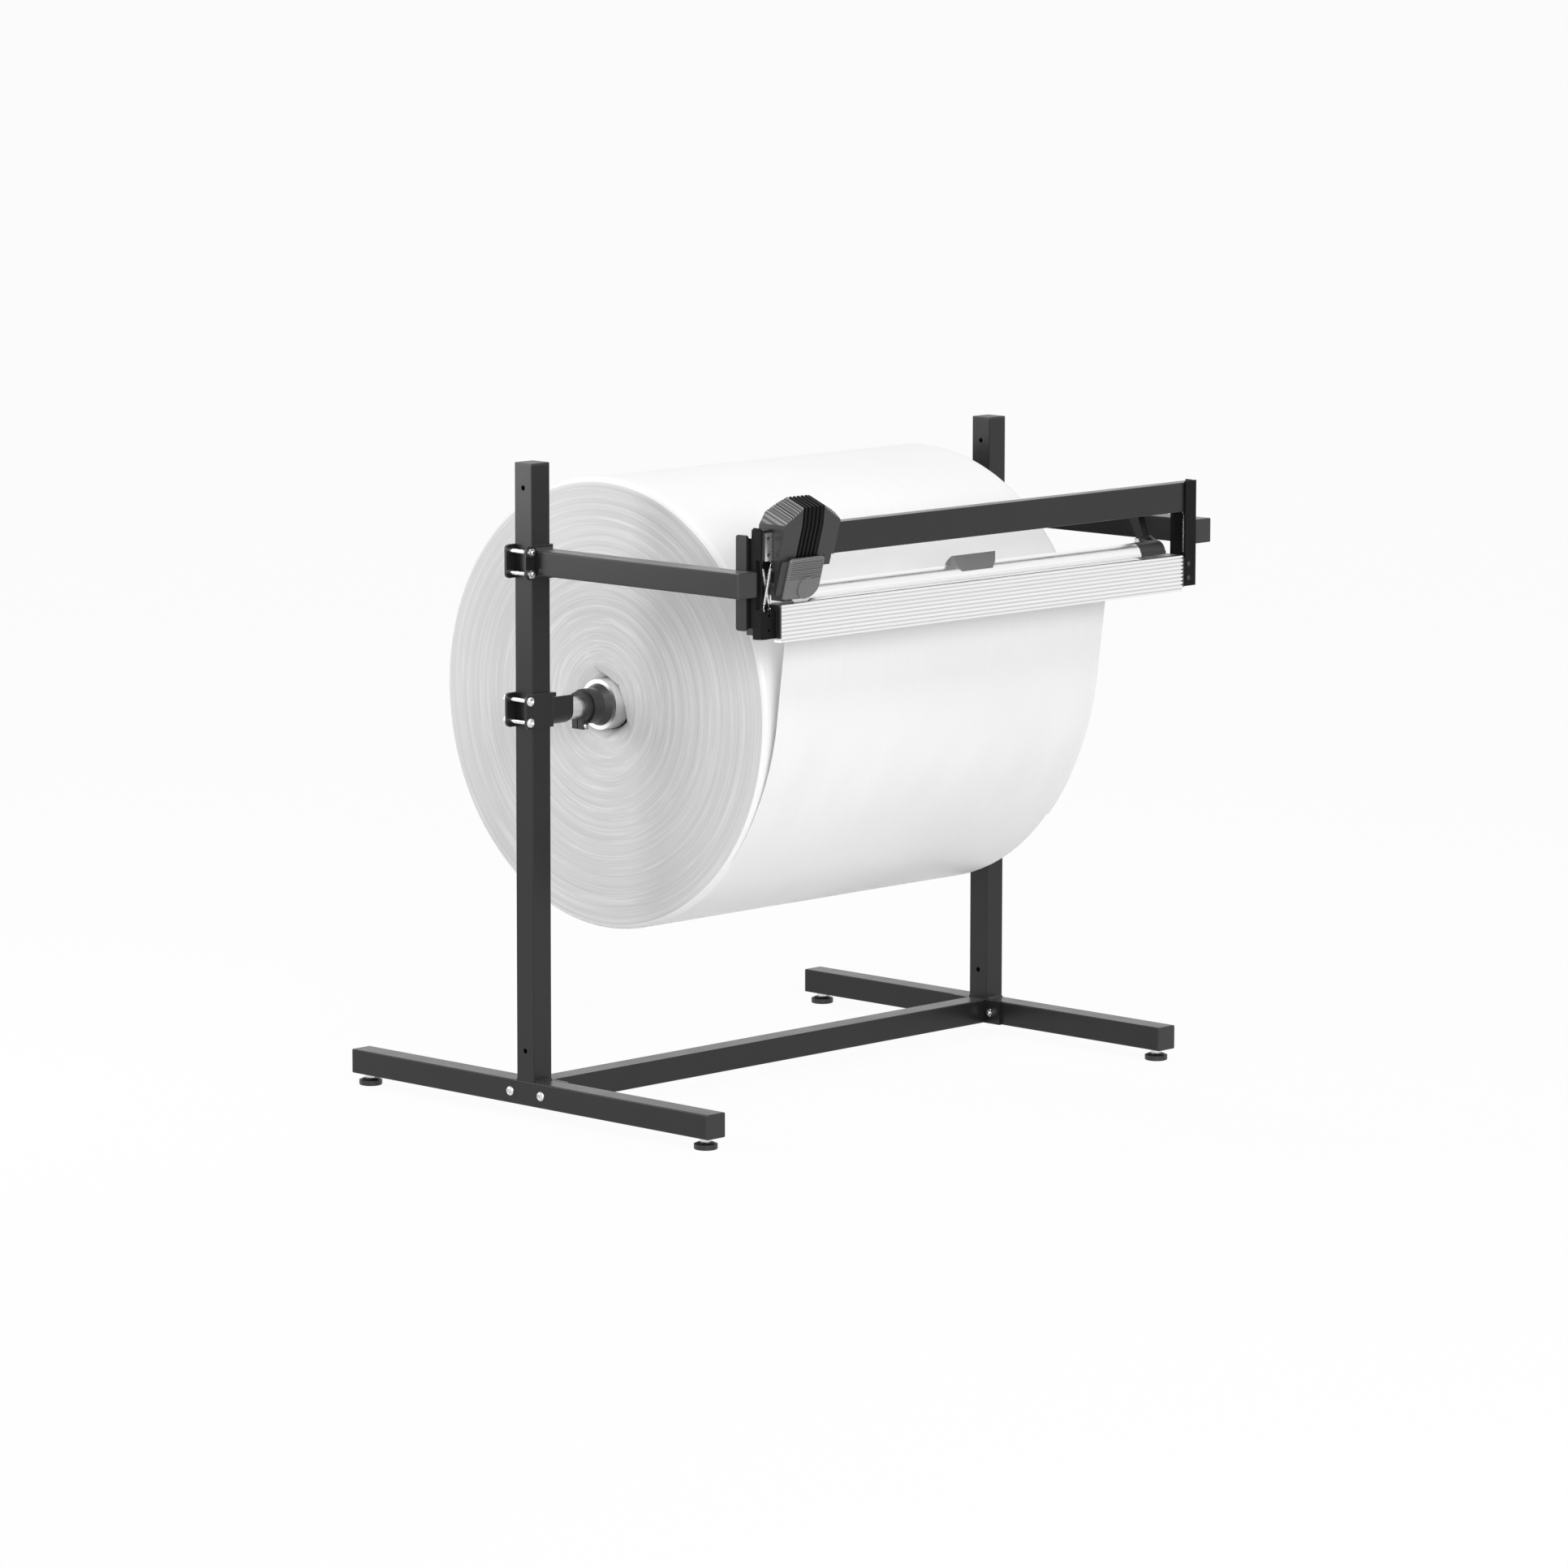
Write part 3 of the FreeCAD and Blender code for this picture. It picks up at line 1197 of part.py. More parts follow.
pins = []
fork_half = S.fork_width / 2
slot_width = S.hanger_thick + S.fork_gap * 2
pivot = (-S.pivot_reach, S.pivot_level)
for name, side in SIDES:
    fitting = at_reach(name + "_bar_end")
    offset = FITTING_MID_X * side
    pad(fitting, draw(new_sketch(fitting, "YZ_Plane", offset), bar_outline()), S.end_fitting_width, True)
    fork_x = (S.bar_half_length + S.end_fitting_width - fork_half) * side
    pad(fitting, draw_circle(new_sketch(fitting, "YZ_Plane", fork_x), *pivot, S.pivot_eye_radius), S.fork_width, True)
    eye = S.pivot_eye_radius
    bridge = [
        (-S.bar_rear_reach - S.overrun, S.bar_low + S.bar_lip), (-S.pivot_reach, S.pivot_level - eye),
        (-S.pivot_reach, S.pivot_level + eye), crest,
    ]
    pad(fitting, draw(new_sketch(fitting, "YZ_Plane", fork_x), bridge), S.fork_width, True)
    slot = rectangle(-S.pivot_reach - S.fork_slot_depth, S.bar_low - S.overrun, eye + S.overrun - S.pivot_reach, S.pivot_level + eye + S.overrun)
    pocket(fitting, draw(new_sketch(fitting, "YZ_Plane", fork_x), slot), slot_width)
    bore = draw_circle(new_sketch(fitting, "YZ_Plane", fork_x), *pivot, S.pivot_radius + S.pivot_slack)
    pocket(fitting, bore, S.fork_width + S.overrun)

    hanger = at_reach(name + "_hanger")
    strip = S.hanger_half_strip
    outline = [
        (-S.beam_rear_reach, S.hanger_foot_high), (-S.beam_rear_reach, S.hanger_foot_low),
        (-S.hanger_neck_reach, S.hanger_neck_level), (-S.pivot_reach - strip, S.pivot_level + S.overrun),
        (strip - S.pivot_reach, S.pivot_level - S.overrun), (-S.hanger_back_reach, S.hanger_back_low),
        (-S.hanger_back_reach, S.hanger_back_high),
    ]
    pad(hanger, draw(new_sketch(hanger, "YZ_Plane", fork_x), outline), S.hanger_thick, True)
    pad(hanger, draw_circle(new_sketch(hanger, "YZ_Plane", fork_x), *pivot, eye), S.hanger_thick, True)
    bore = draw_circle(new_sketch(hanger, "YZ_Plane", fork_x), *pivot, S.pivot_radius + S.pivot_slack)
    pocket(hanger, bore, S.fork_width)

    pin_half = fork_half + S.fork_gap
    pin = primitive("Cylinder", Radius=S.pivot_radius, Height=pin_half * 2)
    place(pin, fork_x - pin_half, forward(S.pivot_reach), S.pivot_level, AXIS_TURN["X"])
    pins.append(pin)
    for start in (fork_x - pin_half - S.overrun, fork_x + pin_half):
        head = primitive("Cylinder", Radius=S.pivot_radius * 1.5, Height=S.overrun)
        pins.append(place(head, start, forward(S.pivot_reach), S.pivot_level, AXIS_TURN["X"]))
group("pivot_pins", pins)


# The knife: a moulded head that rides the beam, its ribbed band, blade, axle and cover


def at_head(label):
    return place(new_body(label), -S.head_centre, S.upright_y, ZERO)


roof_front = S.head_top - S.head_roof_fall
fold = S.head_fold_level
roof_back = S.head_reach - S.head_roof_depth
fold_reach = S.head_reach - S.head_fold_step
chin_reach = S.head_reach - S.head_chin_step
tip_reach = S.head_reach - S.head_tip_step
inner_front = S.beam_front_reach + S.head_slack
inner_top = S.beam_low + S.beam_height + S.head_slack
inner_rear = S.beam_rear_reach - S.head_slack
lip_reach = inner_rear - S.head_rear_lip
nape = S.head_top - S.head_nape_drop


def head_outline(skin):
    return [
        (skin - S.head_reach, roof_front - skin * 0.7), (skin - fold_reach, fold), (skin - tip_reach, S.head_tip_level),
        (-inner_front, S.head_tip_level), (-inner_front, inner_top), (-inner_rear, inner_top),
        (-inner_rear, inner_top - S.head_rear_drop), (-lip_reach, inner_top - S.head_rear_drop),
        (-lip_reach, nape), (-S.head_back_reach, S.head_top - S.head_back_drop), (-roof_back, S.head_top - skin),
    ]


# The roof's slope meets the plane square to it at this height above the body's origin

roof_line = roof_back * sine(S.head_roof_angle) + S.head_top * cosine(S.head_roof_angle)


def on_roof(body):
    """A sketch on the plane square to the roof's slope, so that a cut through it runs along the slope."""
    sketch = new_sketch(body, "XZ_Plane")
    sketch.AttachmentOffset = FreeCAD.Placement(Vector(), FreeCAD.Rotation(Vector(1, 0, 0), ROOF_TURN))
    return sketch


ROOF_TURN = S.head_roof_angle.value
head = at_head("cutter_head")
half_band = S.head_top_width / 2
pad(head, draw(new_sketch(head, "YZ_Plane"), head_outline(S.band_thick)), S.head_width, True)
wing = (S.head_width - S.head_top_width) / 2
for way in (-1, 1):
    offset = (half_band + wing / 2) * way
    pad(head, draw(new_sketch(head, "YZ_Plane", offset), head_outline(ZERO)), wing, True)
shoulders = on_roof(head)
RIB_SHARES = (0.1, 0.19, 0.28, 0.37, 0.46, 0.55, 0.64, 0.73, 0.82)
half_head = S.head_width / 2
for way in (-1, 1):
    bow = S.head_width * 0.9
    draw(shoulders, [
        (half_band * way, roof_line + S.head_crown), ((half_head + S.overrun) * way, roof_line + S.head_crown),
        ((half_head + S.overrun) * way, roof_line - S.head_shoulder_drop - S.overrun * 0.8),
        (half_band * way, roof_line, bow, way),
    ])
pocket(head, shoulders)
ribs = on_roof(head)
for share in RIB_SHARES:
    x = -half_band - wing * share
    z = roof_line - S.head_shoulder_drop * (share * share * 0.28 + share * 0.72)
    draw(ribs, rectangle(x - S.head_rib_width / 2, z - S.head_rib_depth, x + S.head_rib_width / 2, z + S.overrun * 3))
pocket(head, ribs)
skirt = new_sketch(head, "XZ_Plane", S.beam_front_reach)
cover_x = -S.cover_shift
cover_right = cover_x + S.cover_width / 2
tab_high = S.beam_low + S.overrun
draw(skirt, rectangle(cover_right + S.overrun / 2, S.head_tip_level - S.overrun, half_head + S.overrun, tab_high))
pocket(head, skirt, S.head_width)
tab = new_sketch(head, "YZ_Plane", half_head - S.head_tab_out - S.head_tab_width / 2)
slope = (tip_reach - chin_reach) / (S.head_tip_level - S.head_chin_level)
tab_reach = chin_reach - slope * (S.head_chin_level - S.head_tab_low)
high_reach = chin_reach + slope * (tab_high - S.head_chin_level)
draw(tab, [(-high_reach, tab_high), (-tab_reach, S.head_tab_low), (-inner_front, S.head_tab_low), (-inner_front, tab_high)])
pad(head, tab, S.head_tab_width, True)
tilt = sine(S.cover_tilt) / cosine(S.cover_tilt)
holder_x = cover_x
holder = [
    (-S.cover_reach - tilt * (S.holder_low - S.cover_low), S.holder_low), (-inner_front, S.holder_low),
    (-inner_front, S.holder_top), (-S.cover_reach - tilt * (S.holder_top - S.cover_low), S.holder_top),
]
holder_left = S.cover_width / 2 + S.holder_outset
holder_right = S.cover_width / 2 - S.holder_inset
holder_middle = holder_x + (holder_right - holder_left) / 2
pad(head, draw(new_sketch(head, "YZ_Plane", holder_middle), holder), holder_left + holder_right, True)
blade_x = S.head_centre - S.blade_centre
seat = new_sketch(head, "XZ_Plane", inner_front)
draw_circle(seat, blade_x, S.blade_level, S.axle_radius + S.bore_slack)
pocket(head, seat, S.axle_seat_depth * 2, symmetric=True)

band = at_head("head_band")


def band_outline(thick):
    low = S.band_thick
    return [
        (low - thick - S.head_reach, roof_front - low * 0.7 + thick * 0.7), (low - thick - fold_reach, fold),
        (low - thick - chin_reach, S.head_chin_level), (low - chin_reach, S.head_chin_level),
        (low - fold_reach, fold), (low - S.head_reach, roof_front - low * 0.7),
        (-roof_back, S.head_top - low), (-roof_back, S.head_top - low + thick),
    ]


pad(band, draw(new_sketch(band, "YZ_Plane"), band_outline(S.band_base)), S.head_top_width, True)
BAND_RIBS = 5
first_rib = new_sketch(band, "YZ_Plane", -S.band_rib_pitch * (BAND_RIBS - 1) / 2)
rib = pad(band, draw(first_rib, band_outline(S.band_thick)), S.band_rib_width, True)
pattern(band, rib, "X_Axis", S.band_rib_pitch * (BAND_RIBS - 1), BAND_RIBS)

cover = new_body("blade_cover")
half_cover = S.cover_width / 2
plate = draw(new_sketch(cover, "XZ_Plane"), rectangle(-half_cover, ZERO, half_cover, S.cover_height))
pad(cover, plate, S.cover_thick)
upright_edge = along("Y")
right = half_cover.value
soften(cover, S.cover_big_round, lambda e: upright_edge(e) and near(e.CenterOfMass.x, right) and near(e.CenterOfMass.z, 0))
soften(cover, S.cover_small_round, lambda e: upright_edge(e) and near(abs(e.CenterOfMass.x), right))
brow = along("X")
cover_top = S.cover_height.value
cover_face = -S.cover_thick.value
soften(cover, S.cover_brow, lambda e: brow(e) and near(e.CenterOfMass.z, cover_top) and near(e.CenterOfMass.y, cover_face),
       "PartDesign::Chamfer")
hub = (S.blade_level - S.cover_low) / cosine(S.cover_tilt)
hub_x = cover_x * -1 + blade_x
boss = draw_circle(new_sketch(cover, "XZ_Plane", S.cover_thick), hub_x, hub, S.cover_boss_radius)
lines = new_sketch(cover, "XZ_Plane", S.cover_thick)
line_low = S.cover_height - S.cover_line_pitch * 2
draw(lines, rectangle(S.cover_small_round - half_cover, line_low, half_cover - S.cover_small_round, line_low + S.cover_line_width))
cut = pocket(cover, lines, S.cover_line_depth * 2, symmetric=True)
COVER_LINES = 8
rows = pattern(cover, cut, "Z_Axis", S.cover_line_pitch * (COVER_LINES - 1), COVER_LINES)
rows.Reversed = True
doc.recompute()
pad(cover, boss, S.cover_boss_height)
place(cover, cover_x - S.head_centre, forward(S.cover_reach), S.cover_low, (Vector(1, 0, 0), S.cover_tilt.value))

wheel = new_body("blade_wheel")
disc = draw_circle(new_sketch(wheel, "XZ_Plane"), 0, 0, S.blade_radius)
draw_circle(disc, 0, 0, S.axle_radius + S.blade_bore_slack)
pad(wheel, disc, S.blade_thick, True)
rim = S.blade_radius.value
soften(wheel, S.blade_thick * 0.4, lambda e: e.BoundBox.XLength > rim * 1.9, "PartDesign::Chamfer")
place(wheel, -S.blade_centre, forward(S.blade_reach), S.blade_level)

axle = new_body("blade_axle")
back_face = S.blade_reach - S.blade_thick / 2 - S.bore_slack * 3
shaft_circle = draw_circle(new_sketch(axle, "XZ_Plane"), 0, 0, S.axle_radius)
pad(axle, shaft_circle, inner_front + S.axle_seat_depth - back_face)
pad(axle, draw_circle(new_sketch(axle, "XZ_Plane"), 0, 0, S.axle_flange), S.axle_flange_thick, back=True)
place(axle, -S.blade_centre, forward(back_face), S.blade_level)


# Check every object and write each piece

doc.recompute()
for item in doc.Objects:
    if "Invalid" in item.State or "Error" in item.State:
        raise RuntimeError(f"{item.Label} did not recompute: {item.State}")
os.makedirs("parts", exist_ok=True)
for item in made:
    shape = item.Shape
    if shape.isNull() or not shape.isValid():
        raise RuntimeError(f"{item.Label} has no sound shape")
    shape.exportStep(f"parts/{item.Label}.step")
    box = shape.BoundBox
    print(f"{item.Label:22s} {len(shape.Solids):2d} solids  {shape.Volume / 1000:9.1f} cc  {box}")
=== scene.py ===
import json
import math

import bmesh
import bpy
import numpy as np
from mathutils import Matrix, Vector


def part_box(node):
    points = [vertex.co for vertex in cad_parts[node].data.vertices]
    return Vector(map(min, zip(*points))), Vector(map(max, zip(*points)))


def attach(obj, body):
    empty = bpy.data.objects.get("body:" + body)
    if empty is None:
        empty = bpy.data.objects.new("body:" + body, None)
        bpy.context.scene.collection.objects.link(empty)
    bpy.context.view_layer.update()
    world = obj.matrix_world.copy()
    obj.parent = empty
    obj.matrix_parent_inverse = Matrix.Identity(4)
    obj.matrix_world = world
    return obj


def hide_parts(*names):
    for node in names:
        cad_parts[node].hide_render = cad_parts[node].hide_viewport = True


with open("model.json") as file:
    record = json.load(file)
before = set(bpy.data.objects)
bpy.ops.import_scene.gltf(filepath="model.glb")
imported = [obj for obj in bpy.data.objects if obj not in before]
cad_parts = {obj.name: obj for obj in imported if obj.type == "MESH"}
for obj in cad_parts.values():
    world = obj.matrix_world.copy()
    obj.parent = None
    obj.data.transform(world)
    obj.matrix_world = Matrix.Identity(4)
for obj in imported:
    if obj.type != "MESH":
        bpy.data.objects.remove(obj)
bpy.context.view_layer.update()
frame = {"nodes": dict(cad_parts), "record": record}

bl_info = {
    "name": "Film roll cutting stand",
    "version": (1, 0, 0),
    "blender": (4, 5, 0),
    "location": "3D View > Sidebar > Cutting Stand",
    "description": "Dresses a square-tube stand that holds a roll of cushioned film under a sliding knife",
    "category": "Add Mesh",
}

NODES = frame["nodes"]
SLOT_OF = {part["node"]: part["material_slot"] for part in frame["record"]["subparts"]}
TURN = 2 * math.pi


def box(name):
    """Lowest and highest corner of a node, in metres."""
    return [np.array(corner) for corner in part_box(name)]


# Places and sizes that several pieces share, in metres: the roll's axis, the rail's back, top and front, and half the
# size of the wound film and of the loose film

AXLE_Y, AXLE_Z = sum(box("roll_shaft"))[1:] / 2
RAIL_BACK = AXLE_Y - box("cutting_rail")[1][1]
RAIL_TOP = box("cutting_rail")[1][2]
RAIL_FRONT_Y = box("cutting_rail")[0][1]
ROLL_SIZE = (box("film_roll")[1] - box("film_roll")[0]) / 2
WEB_SIZE = (box("film_web")[1] - box("film_web")[0]) / 2


# Sizes and colours a user would change


def metres(name, text, value):
    """A length."""
    return bpy.props.FloatProperty(name=name, description=text, default=value, unit="LENGTH", precision=4)


def colour(name, text, value):
    """A colour without transparency."""
    return bpy.props.FloatVectorProperty(name=name, description=text, default=value, subtype="COLOR", size=3,
                                         min=0.0, max=1.0)


def number(name, text, value):
    """A plain number."""
    return bpy.props.FloatProperty(name=name, description=text, default=value)


class FilmSizes(bpy.types.PropertyGroup):
    """The wound film and the loose film"""
    radius: metres("Roll radius", "Outside radius of the wound film", ROLL_SIZE[2] - 0.0003)
    half_width: metres("Half width", "Half the width of the wound film", ROLL_SIZE[0] - 0.0002)
    bore: metres("Bore radius", "Radius of the hole through the roll", 0.0434)
    edge: metres("Edge radius", "Rounding between the roll's face and its outside", 0.012)
    ring_depth: metres("Ring depth", "How far the layers' edges stand in and out", 0.0009)
    bubble: metres("Cushion pitch", "Distance from one air cushion to the next", 0.011)
    thickness: metres("Film thickness", "Thickness of the cushioned film", 0.002)
    web_half_width: metres("Half width of the loose film", "Half the width of the film between roll and rail",
                           WEB_SIZE[0] - 0.0005)
    tint: colour("Film colour", "Colour of the cushioned film", (0.92, 0.92, 0.922))
    edges: colour("Layer edge colour", "Colour of the layers' edges at the roll's ends", (0.75, 0.75, 0.753))
    shade: colour("Layer gap colour", "Darker colour between the layers' edges", (0.55, 0.55, 0.553))


class FittingSizes(bpy.types.PropertyGroup):
    """The bolts, nuts, springs and welds"""
    bolt_head: metres("Bolt head radius", "Radius of a button bolt's head", 0.0083)
    bolt_crown: metres("Bolt head height", "Height of a button bolt's head", 0.0049)
    bolt_shank: metres("Bolt thread radius", "Outside radius of a button bolt's thread", 0.00395)
    nut_corner: metres("Nut corner radius", "Distance of a nut's corners from its middle", 0.0075)
    nut_height: metres("Nut height", "Height of a nut", 0.0065)
    nut_bore: metres("Nut bore radius", "Radius of the hole in a nut", 0.0041)
    foot_corner: metres("Foot nut corner radius", "Distance of a foot nut's corners from its middle", 0.0094)
    foot_bore: metres("Foot nut bore radius", "Radius of the hole in a foot nut", 0.0051)
    coil: metres("Spring radius", "Radius of a spring to the middle of its wire", 0.0026)
    wire: metres("Wire radius", "Radius of a spring's wire", 0.00074)
    coils: number("Coils", "Number of turns of a spring's wire", 26.0)
    post_weld: metres("Upright weld radius", "Radius of the weld at an upright's foot", 0.0026)
    arm_weld: metres("Arm weld radius", "Radius of the weld at an arm's clamp", 0.0024)


class StandColours(bpy.types.PropertyGroup):
    """The paint, plastic and metal of the stand"""
    paint: colour("Powder coat", "Colour of the painted tubes, clamps and beam", (0.014, 0.014, 0.0147))
    moulding: colour("Black plastic", "Colour of the caps, feet and chucks", (0.018, 0.018, 0.019))
    head: colour("Knife head", "Colour of the moulded knife head", (0.026, 0.026, 0.0272))
    housing: colour("Housing coat", "Colour of the end housings and the knife head's band", (0.005, 0.005, 0.0053))
    cover: colour("Blade cover", "Colour of the blade cover and grip", (0.135, 0.135, 0.138))
    metal: colour("Anodised aluminium", "Colour of the rail, bar and shaft", (0.93, 0.93, 0.935))
    zinc: colour("Bright zinc", "Colour of the bolts, nuts and springs", (0.74, 0.74, 0.75))


class StudioSettings(bpy.types.PropertyGroup):
    """The camera's lens and the strength of the lights"""
    lens: number("Lens", "Focal length of the camera in millimetres", 167.23)
    world: number("Daylight", "Strength of the even light from all round", 0.38)
    rear: number("Rear light", "Power of the soft lamp behind the left end in watts", 16.0)
    overhead: number("Overhead light", "Power of the lamp above and behind in watts", 54.0)
    top: number("Top light", "Power of the soft lamp above and in front in watts", 72.0)
    front: number("Front light", "Power of the soft lamp in front in watts", 325.0)


# Surfaces worked out with numpy


def grid_quads(rows, columns, close_rows=False, close_columns=False):
    """Faces of a grid of points counted row by row; a closed direction joins its last line to its first."""
    i = np.arange(rows if close_rows else rows - 1)[:, None]
    j = np.arange(columns if close_columns else columns - 1)[None, :]
    after_i = (i + 1) % rows
    after_j = (j + 1) % columns
    corners = [i * columns + j, after_i * columns + j, after_i * columns + after_j, i * columns + after_j]
    return np.stack([np.broadcast_to(c, (len(i), j.shape[1])).ravel() for c in corners], axis=1)


def join(parts):
    """One set of points and faces from several."""
    starts = np.cumsum([0] + [len(points) for points, _ in parts[:-1]])
    points = np.concatenate([points for points, _ in parts])
    return points, np.concatenate([faces + start for (_, faces), start in zip(parts, starts)])


def piece(name, surface, body, finish, uv=None, replaced=(), sharp=math.radians(35)):
    """A mesh object from points and faces that rides on a body and takes over from the solids it replaces."""
    points, faces = surface
    mesh = bpy.data.meshes.new(name)
    mesh.from_pydata(points.reshape(-1, 3).tolist(), [], faces.tolist())
    if uv is not None:
        layer = mesh.uv_layers.new(name="flat")
        layer.data.foreach_set("uv", uv.reshape(-1, 2)[faces.ravel()].astype(np.float32).ravel())
    work = bmesh.new()
    work.from_mesh(mesh)
    bmesh.ops.remove_doubles(work, verts=work.verts, dist=1e-6)
    bmesh.ops.dissolve_degenerate(work, edges=work.edges, dist=1e-7)
    bmesh.ops.recalc_face_normals(work, faces=work.faces)
    work.to_mesh(mesh)
    work.free()
    mesh.shade_smooth()
    mesh.set_sharp_from_angle(angle=sharp)
    made = bpy.data.objects.new(name, mesh)
    bpy.context.scene.collection.objects.link(made)
    mesh.materials.append(finish)
    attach(made, body)
    if replaced:
        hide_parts(*replaced)
    return made


def aim(axis):
    """Three unit directions, the first along the axis."""
    first = np.array(axis, float)
    first /= np.linalg.norm(first)
    other = np.array([0, 0, 1.0]) if abs(first[2]) < 0.9 else np.array([1.0, 0, 0])
    second = np.cross(other, first)
    second /= np.linalg.norm(second)
    return np.stack([first, second, np.cross(first, second)])


def turned(profile, spot, axis, sides=48):
    """A profile of (distance along the axis, radius) carried round it: spot + a*axis + r*(cos, sin)."""
    profile = np.array(profile, float)
    angle = np.linspace(0, TURN, sides, endpoint=False)
    along, radius = profile[:, 0:1], profile[:, 1:2]
    local = np.stack(np.broadcast_arrays(along, radius * np.cos(angle), radius * np.sin(angle)), axis=-1)
    points = np.array(spot) + local.reshape(-1, 3) @ aim(axis)
    return points, grid_quads(len(profile), sides, close_columns=True)


def tube(path, radius, sides=10):
    """A round wire: circles of the radius set square to the path, with the ends drawn to a point."""
    radius = np.concatenate([[0.0], np.broadcast_to(radius, len(path)), [0.0]])
    direction = np.gradient(path, axis=0)
    direction /= np.linalg.norm(direction, axis=1, keepdims=True)
    second = np.cross(direction, (0.0, 1.0, 0.0))
    second /= np.linalg.norm(second, axis=1, keepdims=True)
    third = np.cross(direction, second)
    path, second, third = (np.concatenate([rows[:1], rows, rows[-1:]]) for rows in (path, second, third))
    angle = np.linspace(0, TURN, sides, endpoint=False)[None, :, None]
    ring = np.cos(angle) * second[:, None, :] + np.sin(angle) * third[:, None, :]
    points = path[:, None, :] + ring * radius[:, None, None]
    return points.reshape(-1, 3), grid_quads(len(path), sides, close_columns=True)

# Materials: values are wires that take part in arithmetic


class Wire:
    """An output socket. Each operator adds the Math node that works it out."""

    def __init__(self, finish, socket):
        self.finish = finish
        self.socket = socket

    def math(self, operation, *others):
        """A Math node with this wire first."""
        return self.finish.node("ShaderNodeMath", {"operation": operation}, [self, *others])

    def __add__(self, other):
        return self.math("ADD", other)

    def __sub__(self, other):
        return self.math("SUBTRACT", other)

    def __mul__(self, other):
        return self.math("MULTIPLY", other)

    def __truediv__(self, other):
        return self.math("DIVIDE", other)

    def __rsub__(self, other):
        return self.finish.node("ShaderNodeMath", {"operation": "SUBTRACT"}, [other, self])

    def __abs__(self):
        return self.math("ABSOLUTE")

    __radd__ = __add__
    __rmul__ = __mul__


class Finish:
    """A material built round one Principled shader."""

    def __init__(self, name, **constants):
        self.material = bpy.data.materials.new(name)
        self.material.use_nodes = True
        self.tree = self.material.node_tree
        self.shader = next(node for node in self.tree.nodes if node.type == "BSDF_PRINCIPLED")
        for socket, value in constants.items():
            self.set(socket.replace("_", " ").title().replace("Ior", "IOR"), value)
        self.place = self.node("ShaderNodeTexCoord", {}, [], "Object")

    def feed(self, socket, value):
        """Link a wire to a socket, or set its value; a colour gets its fourth channel."""
        if isinstance(value, Wire):
            self.tree.links.new(value.socket, socket)
        elif hasattr(value, "__len__"):
            socket.default_value = (*value, 1.0)[:len(socket.default_value)]
        else:
            socket.default_value = value

    def node(self, kind, settings, values, output=0):
        """Any node: its settings first, then a value or a wire for each of its sockets."""
        made = self.tree.nodes.new(kind)
        for name, value in settings.items():
            setattr(made, name, value)
        for socket, value in values.items() if isinstance(values, dict) else enumerate(values):
            self.feed(made.inputs[socket], value)
        return Wire(self, made.outputs[output])

    def set(self, name, value):
        """Feed one of the shader's own sockets."""
        self.feed(self.shader.inputs[name], value)

    def axes(self, vector=None):
        """The three numbers of a vector, by default of the place on the piece."""
        split = self.node("ShaderNodeSeparateXYZ", {}, [vector or self.place])
        return [Wire(self, output) for output in split.socket.node.outputs]

    def vector(self, x, y, z):
        """A vector from three numbers."""
        return self.node("ShaderNodeCombineXYZ", {}, [x, y, z])

    def stretch(self, scale):
        """The place on the piece, scaled along each axis."""
        return self.node("ShaderNodeMapping", {}, {"Vector": self.place, "Scale": scale})

    def noise(self, scale, detail=2.0, vector=None, roughness=0.5):
        """Fractal noise, about 0.3 to 0.7."""
        values = {"Vector": vector or self.place, "Scale": scale, "Detail": detail, "Roughness": roughness}
        return self.node("ShaderNodeTexNoise", {}, values, "Fac")

    def remap(self, value, low, high, out_low=0.0, out_high=1.0):
        """A smooth step from out_low at low to out_high at high."""
        return self.node("ShaderNodeMapRange", {"interpolation_type": "SMOOTHSTEP"},
                         [value, low, high, out_low, out_high])

    def blend(self, factor, first, second):
        """A mix of two colours. The node's sockets 6 and 7 and its output 2 are those for colours."""
        return self.node("ShaderNodeMix", {"data_type": "RGBA"}, {0: factor, 6: first, 7: second}, 2)

    def bump(self, height, distance, strength):
        """Fine relief, by way of the shader's normal."""
        values = {"Height": height, "Distance": distance, "Strength": strength}
        self.set("Normal", self.node("ShaderNodeBump", {}, values))


def scaled(rgb, factor):
    """A colour made lighter or darker, with no channel over 1."""
    return tuple(min(1.0, channel * factor) for channel in rgb)


def powder_coat(name, rgb):
    """Satin powder coat: fine orange peel, faint cloudiness and a little rubbed shine."""
    finish = Finish(name, roughness=0.3, specular_ior_level=0.34, sheen_weight=0.12, sheen_roughness=0.3)
    cloud = finish.noise(9.0, 4.0)
    speck = finish.noise(900.0, 1.0)
    tone = finish.remap(cloud * 0.8 + speck * 0.2, 0.3, 0.7)
    finish.set("Base Color", finish.blend(tone, scaled(rgb, 0.94), scaled(rgb, 1.08)))
    finish.set("Roughness", finish.remap(finish.noise(14.0, 2.0), 0.3, 0.7, 0.29, 0.33))
    finish.bump(finish.noise(420.0, 1.0), 0.00003, 0.2)
    return finish.material


